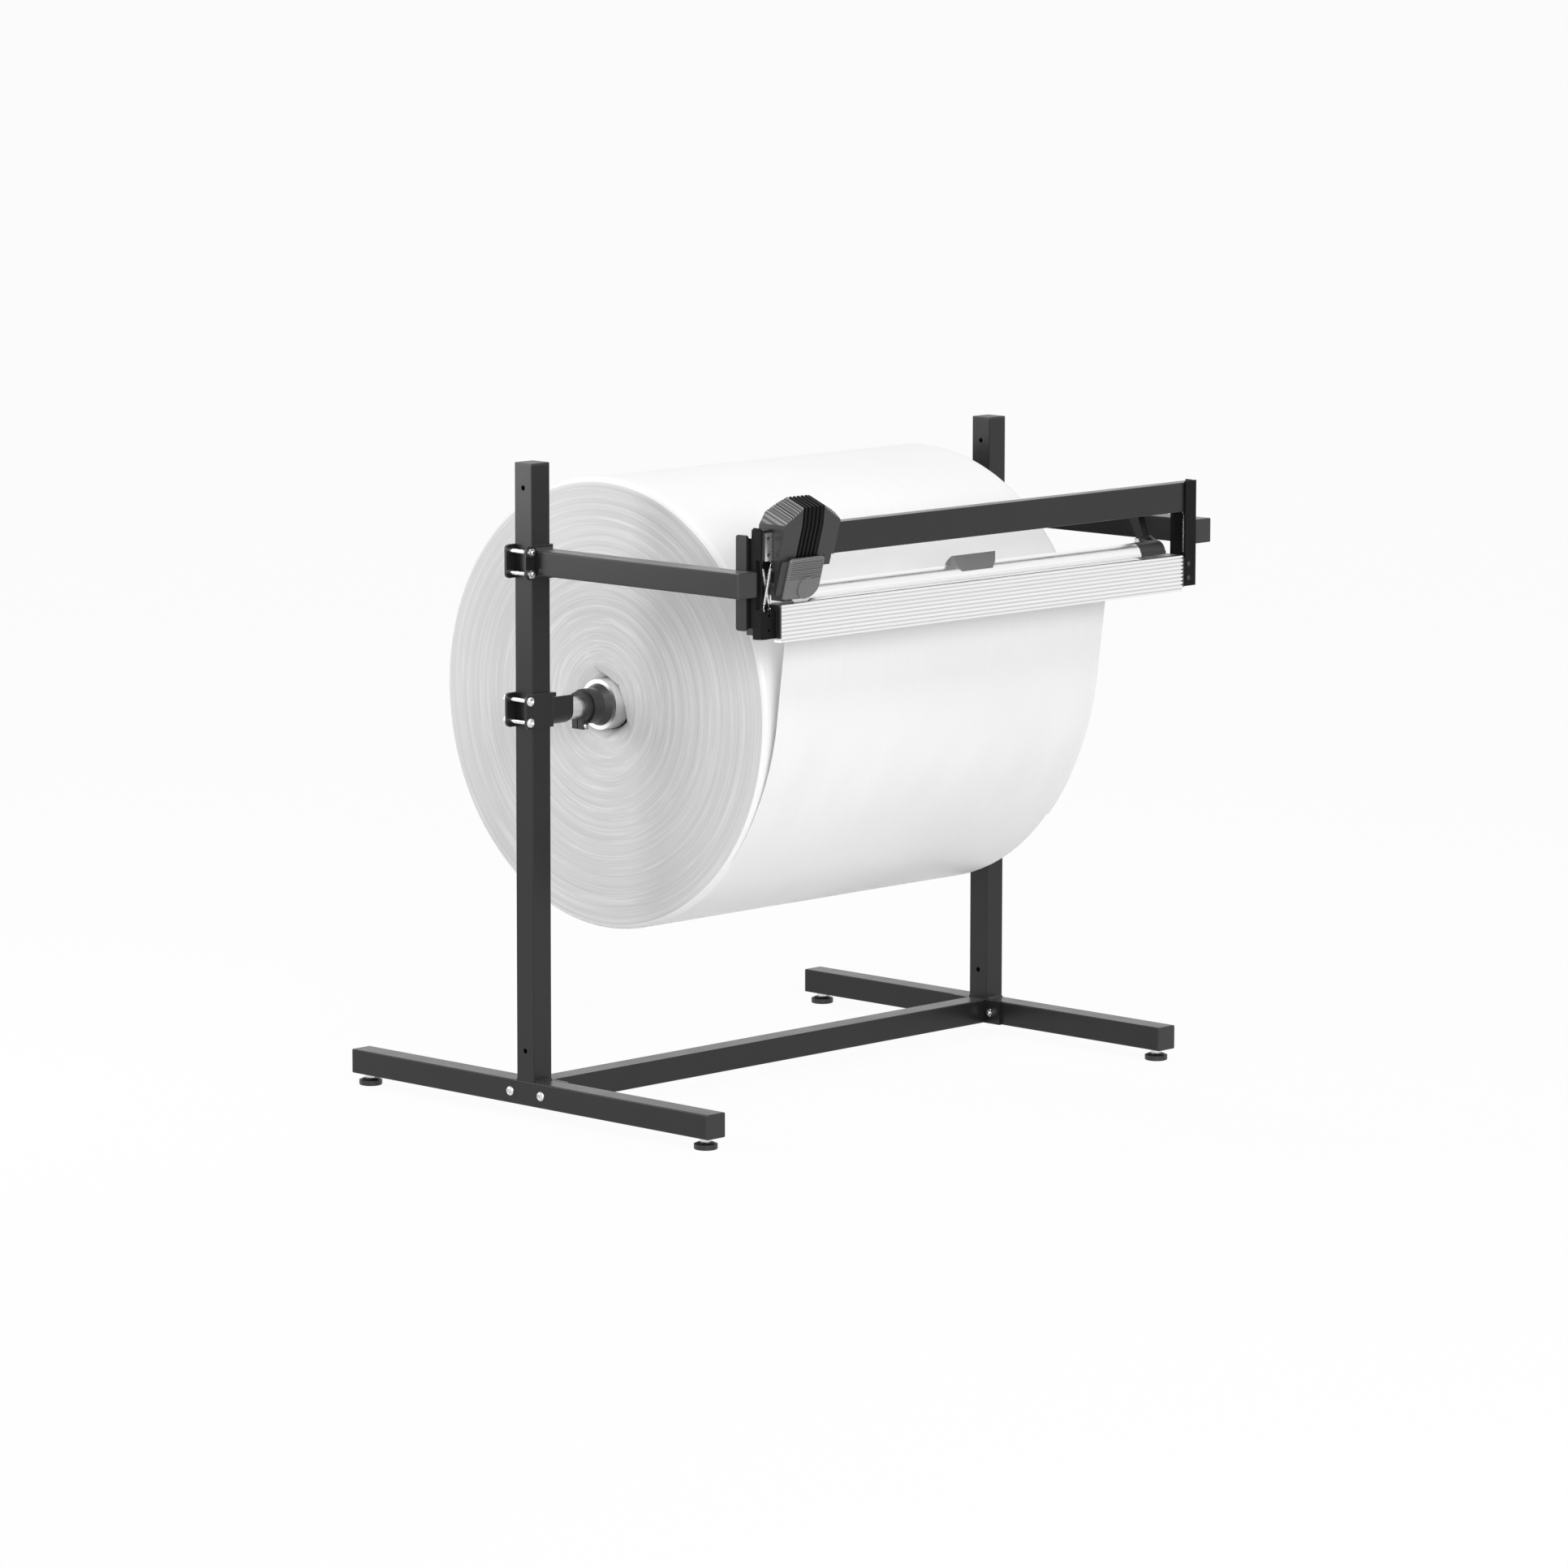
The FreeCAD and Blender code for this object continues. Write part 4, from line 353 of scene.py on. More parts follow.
# Where moulded paints a highlight on the knife head's shoulder ribs and shade in their grooves
def shoulder_ribs(finish):
    """Ribs that step down each side of the knife head, at an even pitch along aside - 0.67 * (z - 0.395 * y), where
    aside is the distance from the head's middle. They cover what is outside the band, above the line
    top - drop + slope * (half width - aside), and in front of the sloped back, 0.88 * y + 0.47 * z."""
    drop, slope, pitch = 0.0413, 0.615, 0.0071
    low, high = box("cutter_head")
    band_low, band_high = box("head_band")
    band_side = (band_high - band_low)[0] / 2
    x, y, z = finish.axes()
    aside = abs(x - (low + high)[0] / 2)
    start = high[2] - drop + ((high - low)[0] / 2 - aside) * slope
    behind = (y - band_high[1]) * 0.88 + (z - high[2]) * 0.47
    outside = finish.remap(aside, band_side, band_side + 0.0004)
    above = finish.remap(z - start, -0.001, 0.0)
    in_front = finish.remap(behind, -0.001, -0.0005, 1.0, 0.0)
    along = aside - 0.67 * (z - 0.395 * y)
    return outside * above * in_front, abs((along / pitch).math("FRACT") - 0.5) * 2.0


def cover_ribs(finish):
    """Fine level ribs over the upper half of the blade cover, to take painted highlights and painted shade."""
    pitch = 0.0024
    bottom, top = (corner[2] for corner in box("blade_cover"))
    z = finish.axes()[2]
    where = finish.remap(z, 0.48 * top + 0.52 * bottom, 0.49 * top + 0.51 * bottom)
    return where, abs(((z - bottom) / pitch).math("FRACT") - 0.5) * 2.0


# pale is the colour of the painted highlight on rib crests, fading to a quarter of it in the shaded grooves
def moulded(name, rgb, roughness=0.5, shine=0.5, ribs=None, pale=(0.27, 0.27, 0.27)):
    """Injection-moulded plastic: spark-eroded grain with slightly paler high spots. Ribs give where they are and
    their height, from 0 in the groove to 1 on the crest; light is painted on them, a pale painted highlight on the
    crest and a quarter of it, painted shade, in the groove."""
    finish = Finish(name, roughness=roughness, specular_ior_level=shine)
    grains = finish.noise(1500.0, 2.0)
    cloud = finish.noise(22.0, 3.0)
    tone = finish.remap(grains * 0.5 + cloud * 0.5, 0.32, 0.68)
    coat = finish.blend(tone, scaled(rgb, 0.9), scaled(rgb, 1.1))
    if ribs:
        where, crest = ribs(finish)
        # painted light on the ribs: pale painted highlight on the crests, a quarter of it as painted shade in the
        # grooves
        ribbed = finish.blend(finish.remap(crest, 0.3, 0.65), scaled(pale, 0.25), pale)
        coat = finish.blend(where, coat, ribbed)
    finish.set("Base Color", coat)
    finish.set("Roughness", finish.remap(cloud, 0.3, 0.7, roughness - 0.04, roughness + 0.05))
    finish.bump(grains, 0.00008, 0.2)
    return finish.material


def rail_painted_shade(finish, tone, rgb):
    """Painted shade in the cutting rail: darker where its front is sunk by about 1 to 2 mm, from 3 mm under its top
    down, and almost black in the knife's slot, within about 3 mm of the line 8 mm behind the front, where shade
    falls."""
    _, y, z = finish.axes()
    depth = y - RAIL_FRONT_Y
    below = RAIL_TOP - 0.003
    # painted shade in the grooves sunk into the rail's front
    sunk = finish.remap(depth, 0.0003, 0.0012) * finish.remap(depth, 0.0019, 0.0022, 1.0, 0.0)
    tone = finish.blend(sunk * finish.remap(z, below - 0.001, below, 1.0, 0.0), tone, scaled(rgb, 0.74))
    # painted shade, almost black, in the knife's slot
    slot = finish.remap(abs(depth - 0.008), 0.0028, 0.0036, 1.0, 0.0)
    return finish.blend(slot * finish.remap(z, below - 0.006, below - 0.005), tone, (0.03, 0.03, 0.03))


def brushed(name, rgb, run=(0.3, 900.0, 900.0), roughness=0.3, shade=None):
    """Drawn and anodised metal: long fine lines in tone, shine and relief. Run is how often the lines change along
    each axis, so that they lie along the axis with the lowest number. Shade, if given, paints shade into the tone in
    places."""
    finish = Finish(name, metallic=1.0, roughness=roughness)
    lines = finish.noise(1.0, 3.0, finish.stretch(run), 0.65)
    cloud = finish.noise(14.0, 2.0)
    tone = finish.blend(finish.remap(lines, 0.3, 0.7), scaled(rgb, 0.93), scaled(rgb, 1.05))
    finish.set("Base Color", shade(finish, tone, rgb) if shade else tone)
    finish.set("Roughness", finish.remap(lines * 0.6 + cloud * 0.4, 0.3, 0.7, roughness - 0.05, roughness + 0.08))
    finish.bump(lines, 0.00003, 0.5)
    return finish.material


def zinc_plate(name, rgb):
    """Bright zinc: a clear shine with small passivated blotches."""
    finish = Finish(name, metallic=1.0, roughness=0.2)
    blotch = finish.noise(160.0, 3.0)
    finish.set("Base Color", finish.blend(finish.remap(blotch, 0.4, 0.65), scaled(rgb, 0.86), scaled(rgb, 1.06)))
    finish.set("Roughness", finish.remap(blotch, 0.35, 0.7, 0.16, 0.3))
    finish.bump(finish.noise(800.0, 1.0), 0.00003, 0.4)
    return finish.material


ROW_SHARE = 0.866  # height of a row of cushions, as a share of the distance between two in the row


def cushion_height(finish, pitch, u, v):
    """Rounded air cushions on a staggered grid: 1 - (distance to the nearest centre / radius) squared, kept above 0.
    The radius squared is 0.19 of the pitch squared."""
    row = v / (pitch * ROW_SHARE)
    shift = row.math("FLOOR").math("FLOORED_MODULO", 2.0) * 0.5
    column = u / pitch + shift
    across = column.math("FRACT") - 0.5
    down = (row.math("FRACT") - 0.5) * ROW_SHARE
    reach = (across * across + down * down) / 0.19
    return (1.0 - reach).math("MAXIMUM", 0.0)


def cushioned_film(name, tint, pitch):
    """Film in many layers: milky, softly shining, with rows of air cushions pressed almost flat."""
    finish = Finish(name, roughness=0.34)
    flat = finish.node("ShaderNodeUVMap", {"uv_map": "flat"}, [])
    u, v, _ = finish.axes(flat)
    cushions = cushion_height(finish, pitch, u, v)
    cloud = finish.noise(7.0, 4.0)
    lines = finish.noise(1.0, 2.0, finish.stretch((420.0, 3.0, 3.0)))
    tone = finish.remap(cloud * 0.55 + lines * 0.45, 0.3, 0.7)
    pale = finish.blend(tone, scaled(tint, 0.965), tint)
    finish.set("Base Color", finish.blend(cushions * 0.03, pale, scaled(tint, 1.12)))
    finish.set("Roughness", finish.remap(cushions, 0.0, 1.0, 0.4, 0.34))
    finish.bump(cushions, 0.0004, 0.05)
    return finish.material


def wound_edges(name, tint, shade):
    """The roll's end: thousands of film edges seen as fine rings, darker between loose layers and near the core."""
    finish = Finish(name, roughness=0.45)
    x, y, z = finish.axes()
    across = y - AXLE_Y
    up = z - AXLE_Z
    radius = (across * across + up * up).math("SQRT")
    cosine = across / radius
    sine = up / radius

    def rings(rate, turn, lift):
        """Noise that changes at the rate along the radius and slowly, by turn, round the axis."""
        return finish.noise(1.0, 3.0, finish.vector(radius * rate, cosine * turn + lift, sine * turn + x * 3.0), 0.6)

    def lines(rate, turn, lift, width):
        """Thin rings where the noise passes its middle value."""
        return finish.remap(abs(rings(rate, turn, lift) - 0.5), 0.0, width, 1.0, 0.0)

    fine = rings(700.0, 0.5, 0.0)
    broad = rings(26.0, 0.8, 4.0)
    sharp = lines(60.0, 0.3, 7.0, 0.03)
    faint = lines(150.0, 0.35, 11.0, 0.06)
    tone = fine * 0.6 + broad * 0.3 + sharp * 0.4 + faint * 0.3
    core = finish.remap(radius, 0.046, 0.10, 0.5, 1.0)
    finish.set("Base Color", finish.blend(tone * core, shade, tint))
    finish.set("Roughness", finish.remap(fine, 0.3, 0.7, 0.55, 0.36))
    finish.bump(fine * 0.5 + sharp * 0.5, 0.0005, 0.4)
    return finish.material


# Shapes of the pieces


def polar_edge(corners, angle):
    """Radius at each angle of a polygon given by (angle, radius) corners: the straight line between two corners,
    r = r1 * r2 * sin(a2 - a1) / (r1 * sin(a - a1) + r2 * sin(a2 - a))."""
    corners = np.array(sorted(corners))
    corners = np.concatenate([corners[-1:] - [TURN, 0], corners, corners[:1] + [TURN, 0]])
    k = np.searchsorted(corners[:, 0], angle, side="right") - 1
    a1, r1 = corners[k].T
    a2, r2 = corners[k + 1].T
    return r1 * r2 * np.sin(a2 - a1) / (r1 * np.sin(angle - a1) + r2 * np.sin(a2 - angle))


# Corners of the torn mouth in the roll's ends, in millimetres to the front of the axis and above it
MOUTH_CORNERS = ((-40, 26), (-19, 54), (-1, 47), (30, 33), (44.5, -2),
                 (53, -31), (26, -46), (3, -54), (-15, -43), (-46, -14))
THROAT = 0.375  # where the even bore starts, in metres from the roll's middle


def roll_surface(sizes, around=288, face_rows=112, edge_rows=4, outer_rows=46):
    """The wound film as one closed skin. A profile of (x, r) is carried round the axis. On the ends, x is drawn in by
    ring_depth * (slow waves of r, turned a little with the angle), and near the torn mouth by a funnel. On the
    outside, r dips by slow waves of x and the angle."""
    angle = np.linspace(0, TURN, around, endpoint=False)
    turn = angle[None, :]
    corners = [(math.atan2(up, -reach) % TURN, 0.001 * math.hypot(reach, up)) for reach, up in MOUTH_CORNERS]
    mouth = polar_edge(corners, angle)
    edge = sizes.edge

    share = np.linspace(0, 1, face_rows)[:, None]
    face_r = mouth + (sizes.radius - edge - mouth) * share
    waves = (0.5 * np.sin(TURN * face_r / 0.019 + turn) + 0.3 * np.sin(TURN * face_r / 0.031 - 2 * turn + 1.0)
             + 0.2 * np.sin(TURN * face_r / 0.0117 + 0.7 * np.sin(3 * turn)))
    ripple = 0.35 * np.sin(5 * turn + 9 * share) * np.exp(-((face_r - 0.06) / 0.05) ** 2)
    loose = 0.0022 * (0.4 + ripple) * np.exp(-(face_r - 0.045) / 0.05)
    funnel = 0.010 * np.exp(-(face_r - mouth) / 0.006)
    inward = sizes.ring_depth * (1 + waves) / 2 + loose + funnel
    face_x = sizes.half_width - inward

    bend = np.linspace(0, math.pi / 2, edge_rows + 2)[1:-1, None]
    last = inward[-1:]
    corner_x = sizes.half_width - last - edge * (1 - np.cos(bend)) + 0 * turn
    corner_r = sizes.radius - edge + edge * np.sin(bend) + 0 * turn

    outer_x = np.linspace(1, -1, outer_rows)[:, None] * (sizes.half_width - edge - last[0].max()) + 0 * turn
    dents = 0.0003 * (1 + np.sin(TURN * outer_x / 0.31 + turn) * np.sin(3 * turn + 2))
    dents += 0.0001 * (1 + np.sin(17 * turn + 6 * outer_x))
    outer_r = sizes.radius - dents * (1 - (outer_x / sizes.half_width) ** 8)

    throat_x = np.array([[-THROAT], [THROAT]]) + 0 * turn
    throat_r = np.full((2, around), sizes.bore)
    x = np.concatenate([face_x, corner_x, outer_x, -corner_x[::-1], -face_x[::-1], throat_x])
    r = np.concatenate([face_r, corner_r, outer_r, corner_r[::-1], face_r[::-1], throat_r])
    points = np.stack([x, AXLE_Y + r * np.cos(angle), AXLE_Z + r * np.sin(angle)], axis=-1)
    return points, grid_quads(len(x), around, True, True)


def unroll(mesh, sizes):
    """The roll's outside gets the first material and its ends the second. On the UV map, u is x and v is the angle
    times the radius, counted on from the middle of each face so that none is torn at the seam."""
    centre = np.zeros(len(mesh.polygons) * 3)
    mesh.polygons.foreach_get("center", centre)
    _, face_y, face_z = centre.reshape(-1, 3).T
    radius = np.hypot(face_y - AXLE_Y, face_z - AXLE_Z)
    mesh.polygons.foreach_set("material_index", (radius < sizes.radius - sizes.edge * 0.7).astype(np.int32))
    place = np.zeros(len(mesh.vertices) * 3)
    mesh.vertices.foreach_get("co", place)
    corner = np.zeros(len(mesh.loops), np.int32)
    mesh.loops.foreach_get("vertex_index", corner)
    x, y, z = place.reshape(-1, 3)[corner].T
    corners = np.zeros(len(mesh.polygons), np.int32)
    mesh.polygons.foreach_get("loop_total", corners)
    middle = np.repeat(np.arctan2(face_z - AXLE_Z, face_y - AXLE_Y), corners)
    turn = np.arctan2(z - AXLE_Z, y - AXLE_Y)
    turn += TURN * np.round((middle - turn) / TURN)
    layer = mesh.uv_layers.new(name="flat")
    layer.data.foreach_set("uv", np.column_stack([x, turn * sizes.radius]).astype(np.float32).ravel())


# The loose film: its lean from upright where it leaves the roll and on the straight run, how far its middle lies off
# the roll, and the centre and radius of its bend round the rail's nose
WEB_LEAVE = math.radians(39.0)
WEB_LEAN = math.radians(7.7)
WEB_LIFT = 0.0012
NOSE_SPOT = np.array([RAIL_BACK + 0.009, RAIL_TOP - 0.0092])
NOSE_BEND = 0.0102


def web_line(sizes, step=0.004):
    """Centre line of the loose film as (reach, level) and its lean from upright: one long arc that touches the roll
    and the straight run to the rail, that run, then round the rail's nose and flat to the groove. The arc's radius is
    (distance of the run from the axis - roll * cos(turn)) / (1 - cos(turn)), turn being how far the film bends."""
    roll = sizes.radius + WEB_LIFT
    end = np.array([AXLE_Y - box("film_web")[0][1] - 0.0001, NOSE_SPOT[1] + NOSE_BEND])
    meet = NOSE_SPOT + NOSE_BEND * np.array([-math.cos(WEB_LEAN), math.sin(WEB_LEAN)])
    run_off = meet[0] * math.cos(WEB_LEAN) - (meet[1] - AXLE_Z) * math.sin(WEB_LEAN)
    spread = math.cos(WEB_LEAVE - WEB_LEAN)
    bow = (run_off - roll * spread) / (1 - spread)
    centre = (bow - roll) * np.array([-math.cos(WEB_LEAVE), math.sin(WEB_LEAVE)]) + [0, AXLE_Z]

    def straight(start, stop, lean):
        """Points from start to stop at even steps, without stop."""
        count = max(2, int(np.linalg.norm(np.subtract(stop, start)) / step))
        t = np.linspace(0, 1, count, endpoint=False)[:, None]
        line = np.array(start) * (1 - t) + np.array(stop) * t
        return np.column_stack([line, np.full(count, lean)])

    def arc(middle, radius, first, last, side):
        """Points round a middle: reach - side * radius * cos(lean), level + side * radius * sin(lean)."""
        count = max(8, int(abs(last - first) * radius / step))
        lean = np.linspace(first, last, count, endpoint=False)
        across, down = side * radius * np.cos(lean), side * radius * np.sin(lean)
        return np.column_stack([middle[0] - across, middle[1] + down, lean])

    flat = math.pi / 2
    line = np.concatenate([
        arc(centre, bow, WEB_LEAVE, WEB_LEAN, -1),
        straight(centre + bow * np.array([math.cos(WEB_LEAN), -math.sin(WEB_LEAN)]), meet, WEB_LEAN),
        arc(NOSE_SPOT, NOSE_BEND, WEB_LEAN, flat, 1),
        straight((NOSE_SPOT[0], end[1]), end, flat),
        [[*end, flat]],
    ])
    return line[:, :2], line[:, 2]


def web_surface(sizes, columns=140):
    """The loose film: the centre line swept along X, with both skins half a thickness off it, and a slight wave that
    fades out where the film touches the roll or the rail. The outer skin starts on the inner one and leaves it as
    1 - exp(-s / 0.1), so that no step shows where the film leaves the roll."""
    line, lean = web_line(sizes)
    length = np.concatenate([[0], np.cumsum(np.linalg.norm(np.diff(line, axis=0), axis=1))])
    x = np.linspace(-sizes.web_half_width, sizes.web_half_width, columns)[None, :]
    s = length[:, None]
    free = np.sin(np.pi * np.clip(s / 0.34, 0, 1)) ** 2
    wave = 0.0011 * free * np.sin(TURN * (x / 0.27 + 0.8 * s))
    wave += 0.0006 * free * np.sin(TURN * (x / 0.113 - 1.9 * s))
    across = np.stack([-np.cos(lean), np.sin(lean)], axis=1)
    sides = []
    for skin in (-0.5 + 0.96 * np.exp(-s / 0.1), 0.5):
        off = wave + skin * sizes.thickness * 0.94
        reach = line[:, 0:1] + across[:, 0:1] * off
        level = line[:, 1:2] + across[:, 1:2] * off
        sides.append(np.stack([np.broadcast_to(x, reach.shape), AXLE_Y - reach, level], axis=-1))
    loop = np.concatenate([sides[0], sides[1][::-1]])
    rows = len(loop)
    both = np.broadcast_to(np.concatenate([length, length[::-1]])[:, None], (rows, columns))
    uv = np.stack([np.broadcast_to(x, both.shape), both], axis=-1)
    k = np.arange(rows // 2 - 1)
    caps = [np.stack([k, k + 1, rows - 2 - k, rows - 1 - k], axis=1) * columns + c for c in (0, columns - 1)]
    faces = np.concatenate([grid_quads(rows, columns, close_rows=True)] + caps)
    return (loop, faces), uv, (2 * sizes.web_half_width, float(length[-1]))


def coil_spring(low, high, radius, wire, coils, body_share=0.72, eye=0.0026):
    """A close-coiled wire: a helix round the line from low to high, over the body's share of it, drawn in to the
    line at both ends, then a hooked eye of the eye's radius."""
    low, high = np.array(low, float), np.array(high, float)
    axis, across, third = aim(high - low)
    height = np.linalg.norm(high - low)
    t = np.linspace(0, 1, int(coils * 14))
    phase = TURN * coils * t[:, None]
    swell = radius * np.clip(np.minimum(t, 1 - t) * coils / 0.7, 0, 1) ** 0.5
    along = height * ((1 - body_share) / 2 + body_share * t)
    helix = low + along[:, None] * axis + swell[:, None] * (np.cos(phase) * across + np.sin(phase) * third)
    parts = [tube(helix, wire, 8)]
    for end, inner, way in ((low, helix[0], 1), (high, helix[-1], -1)):
        centre = end + axis * way * eye
        turn = np.linspace(math.pi / 2, TURN + math.pi / 2 - 0.5, 22)[:, None]
        loop = centre + eye * (np.cos(turn) * across + np.sin(turn) * axis * way)
        stem = np.linspace(0, 1, 6)[1:, None] * (inner - loop[0]) + loop[0]
        parts.append(tube(np.concatenate([stem[::-1], loop]), wire * 0.9, 8))
    return join(parts)


def hexagon(corner, angle):
    """A hexagon in polar form: r = corner * cos 30 / cos(angle from the middle of the nearest flat)."""
    return corner * math.cos(math.pi / 6) / np.cos((angle % (TURN / 6)) - math.pi / 6)


def dome_bolt(spot, axis, head, crown, shank, length, socket=0.42, sides=48):
    """A button-head bolt: r = head * cos, height = crown * sin over the dome, a hexagon socket sunk in its top, then
    the shank with thread rings at r = shank and 0.95 * shank by turns, and a bevelled tip."""
    arc = np.linspace(0.0, math.pi / 2 * 0.72, 9)
    key = head * socket
    dome = [(-crown * math.sin(a) / math.sin(arc[-1]), head * (math.cos(a) + 0.02)) for a in arc]
    top = dome[-1][0]
    rim = [(0.0, shank), (0.0, head * 1.02)] + dome
    inside = [(top, key * 1.12), (top + crown * 0.08, key), (top + crown * 0.62, key), (top + crown * 0.7, 0.0)]
    points, faces = turned(rim + inside, spot, axis, sides)
    grid = points.reshape(-1, sides, 3)
    along = aim(axis)[0]
    stretch = hexagon(1.0, np.linspace(0, TURN, sides, endpoint=False))[:, None]
    for row in (-3, -2):
        local = grid[row] - np.array(spot)
        depth = (local @ along)[:, None] * along
        grid[row] = np.array(spot) + depth + (local - depth) * stretch
    rings = [(length * (0.12 + 0.86 * t), shank * (1 - 0.05 * (k % 2))) for k, t in enumerate(np.linspace(0, 1, 41))]
    tip = [(length, shank * 0.7), (length, 0.0)]
    return join([(grid.reshape(-1, 3), faces), turned([(0.0, 0.0), (0.0, shank)] + rings + tip, spot, axis, 20)])


def hex_nut(spot, axis, corner, height, bore, sides=48):
    """A nut whose side is a hexagon. Both ends are turned down by a cone: the side stops short of them by
    0.55 * (its radius - the radius of the flats)."""
    angle = np.linspace(0, TURN, sides, endpoint=False)
    radius = hexagon(corner, angle)
    flat = corner * math.cos(math.pi / 6)
    drop = (radius - flat) * 0.55
    rows = [(0.0, bore), (0.0, flat * 0.97), (drop, radius), (height - drop, radius),
            (height, flat * 0.97), (height, bore * 1.08), (height * 0.9, bore)]
    along = np.stack([np.broadcast_to(row[0], sides) for row in rows])
    across = np.stack([np.broadcast_to(row[1], sides) for row in rows])
    local = np.stack([along, across * np.cos(angle), across * np.sin(angle)], axis=-1).reshape(-1, 3)
    return np.array(spot) + local @ aim(axis), grid_quads(len(rows), sides, True, True)


def weld_bead(start, end, radius, pitch=0.0032):
    """A run of weld: a half-sunk tube from start to end whose radius swells at each ripple,
    radius * (0.85 + 0.15 * |sin(pi * distance / pitch)|), and shrinks to a quarter at both ends."""
    start, end = np.array(start, float), np.array(end, float)
    length = np.linalg.norm(end - start)
    t = np.linspace(0, 1, int(length / 0.0006))
    ripple = radius * (0.85 + 0.15 * np.abs(np.sin(math.pi * t * length / pitch)))
    ripple *= np.clip(np.minimum(t, 1 - t) * 14, 0.25, 1)
    return tube(start + (end - start) * t[:, None], ripple)


def white_where_seen(owner, plain_kind, white_kind, out_kind, most):
    """Nodes that light the object plainly, and show white to the camera and in the shine of metal. Returns the plain
    shader, whose colour and strength are still to be set."""
    owner.use_nodes = True
    tree = owner.node_tree
    tree.nodes.clear()
    plain = tree.nodes.new(plain_kind)
    white = tree.nodes.new(white_kind)
    white.inputs["Color"].default_value = (1, 1, 1, 1)
    white.inputs["Strength"].default_value = 1.0
    path = tree.nodes.new("ShaderNodeLightPath")
    seen = path.outputs["Is Camera Ray"]
    for ray in ("Is Glossy Ray", "Is Transmission Ray"):
        either = tree.nodes.new("ShaderNodeMath")
        either.operation = "MAXIMUM"
        tree.links.new(seen, either.inputs[0])
        tree.links.new(path.outputs[ray], either.inputs[1])
        seen = either.outputs[0]
    share = tree.nodes.new("ShaderNodeMath")
    share.operation = "MULTIPLY"
    share.inputs[1].default_value = most
    tree.links.new(seen, share.inputs[0])
    mix = tree.nodes.new("ShaderNodeMixShader")
    out = tree.nodes.new(out_kind)
    for source, target in zip((share, plain, white), mix.inputs):
        tree.links.new(source.outputs[0], target)
    tree.links.new(mix.outputs[0], out.inputs[0])
    return plain


# The stage: half the floor's side, each lamp's name, place, width and setting, the spot the lamps point at, and the
# camera's place and its turn in radians from the Y axis, below level and about its own line of sight

FLOOR_REACH = 60.0
LAMPS = (("rear lamp", (-1.9, 1.5, 1.3), 1.0, "rear"),
         ("overhead lamp", (0.75, 3.1, 4.7), 1.0, "overhead"),
         ("top lamp", (-1.0, -2.6, 4.6), 2.0, "top"),
         ("front lamp", (-4.2, -6.8, 3.0), 3.0, "front"))
LAMP_TARGET = Vector((0, 0, 0.7))
CAMERA_SPOT = (-8.98024, -8.67917, 2.35975)
AZIMUTH, TILT, ROLL = 0.80162, 0.14672, 0.0013


def lay_floor(scene):
    """A wide square floor that takes the object's shadow."""
    mesh = bpy.data.meshes.new("floor")
    corners = [(x * FLOOR_REACH, y * FLOOR_REACH, 0) for x, y in ((-1, -1), (1, -1), (1, 1), (-1, 1))]
    mesh.from_pydata(corners, [], [(0, 1, 2, 3)])
    floor = bpy.data.objects.new("floor", mesh)
    scene.collection.objects.link(floor)
    paper = bpy.data.materials.new("pale floor")
    mesh.materials.append(paper)
    plain = white_where_seen(paper, "ShaderNodeBsdfDiffuse", "ShaderNodeEmission", "ShaderNodeOutputMaterial", 0.95)
    plain.inputs["Color"].default_value = (0.82, 0.82, 0.82, 1)


def light(scene, settings):
    """An even world and four soft lamps that face the object."""
    scene.world = bpy.data.worlds.new("studio")
    soft = white_where_seen(scene.world, "ShaderNodeBackground", "ShaderNodeBackground", "ShaderNodeOutputWorld", 1.0)
    soft.inputs["Color"].default_value = (1, 1, 1, 1)
    soft.inputs["Strength"].default_value = settings.world
    for name, spot, width, power in LAMPS:
        data = bpy.data.lights.new(name, "AREA")
        data.energy = getattr(settings, power)
        data.size = width
        lamp = bpy.data.objects.new(name, data)
        lamp.location = spot
        lamp.rotation_euler = (LAMP_TARGET - Vector(spot)).to_track_quat("-Z", "Y").to_euler()
        scene.collection.objects.link(lamp)


def place_camera(scene, settings):
    """The camera at the photograph's angle: its line of sight from azimuth and tilt, then rolled a little."""
    data = bpy.data.cameras.new("camera")
    data.lens = settings.lens
    data.sensor_width = 36.0
    data.sensor_fit = "HORIZONTAL"
    data.clip_end = 200.0
    camera = bpy.data.objects.new("camera", data)
    ahead = Vector((math.sin(AZIMUTH) * math.cos(TILT), math.cos(AZIMUTH) * math.cos(TILT), -math.sin(TILT)))
    level = Vector((math.cos(AZIMUTH), -math.sin(AZIMUTH), 0.0))
    above = level.cross(ahead)
    right = level * math.cos(ROLL) + above * math.sin(ROLL)
    up = above * math.cos(ROLL) - level * math.sin(ROLL)
    camera.matrix_world = Matrix([*zip(right, up, -ahead, CAMERA_SPOT), (0, 0, 0, 1)])
    scene.collection.objects.link(camera)
    scene.camera = camera


# Operators: one for each piece or group of like pieces


class STAND_OT_film_roll(bpy.types.Operator):
    """Build the wound film with its uneven layers and torn mouth"""
    bl_idname = "stand.film_roll"
    bl_label = "Film roll"

    def execute(self, context):
        sizes = context.scene.stand_film
        film = cushioned_film("cushioned film", sizes.tint, sizes.bubble)
        made = piece("film_roll_wound", roll_surface(sizes), "roll", film, replaced=("film_roll",))
        made.data.materials.append(wound_edges("wound film edges", sizes.edges, sizes.shade))
        unroll(made.data, sizes)
        return {"FINISHED"}


class STAND_OT_film_web(bpy.types.Operator):
    """Build the loose film that runs from the roll over the rail"""
    bl_idname = "stand.film_web"
    bl_label = "Loose film"

    def execute(self, context):
        sizes = context.scene.stand_film
        surface, uv, flat = web_surface(sizes)
        film = bpy.data.materials["cushioned film"]
        made = piece("film_web_loose", surface, "stand", film, uv=uv, replaced=("film_web",))
        return {"FINISHED"}


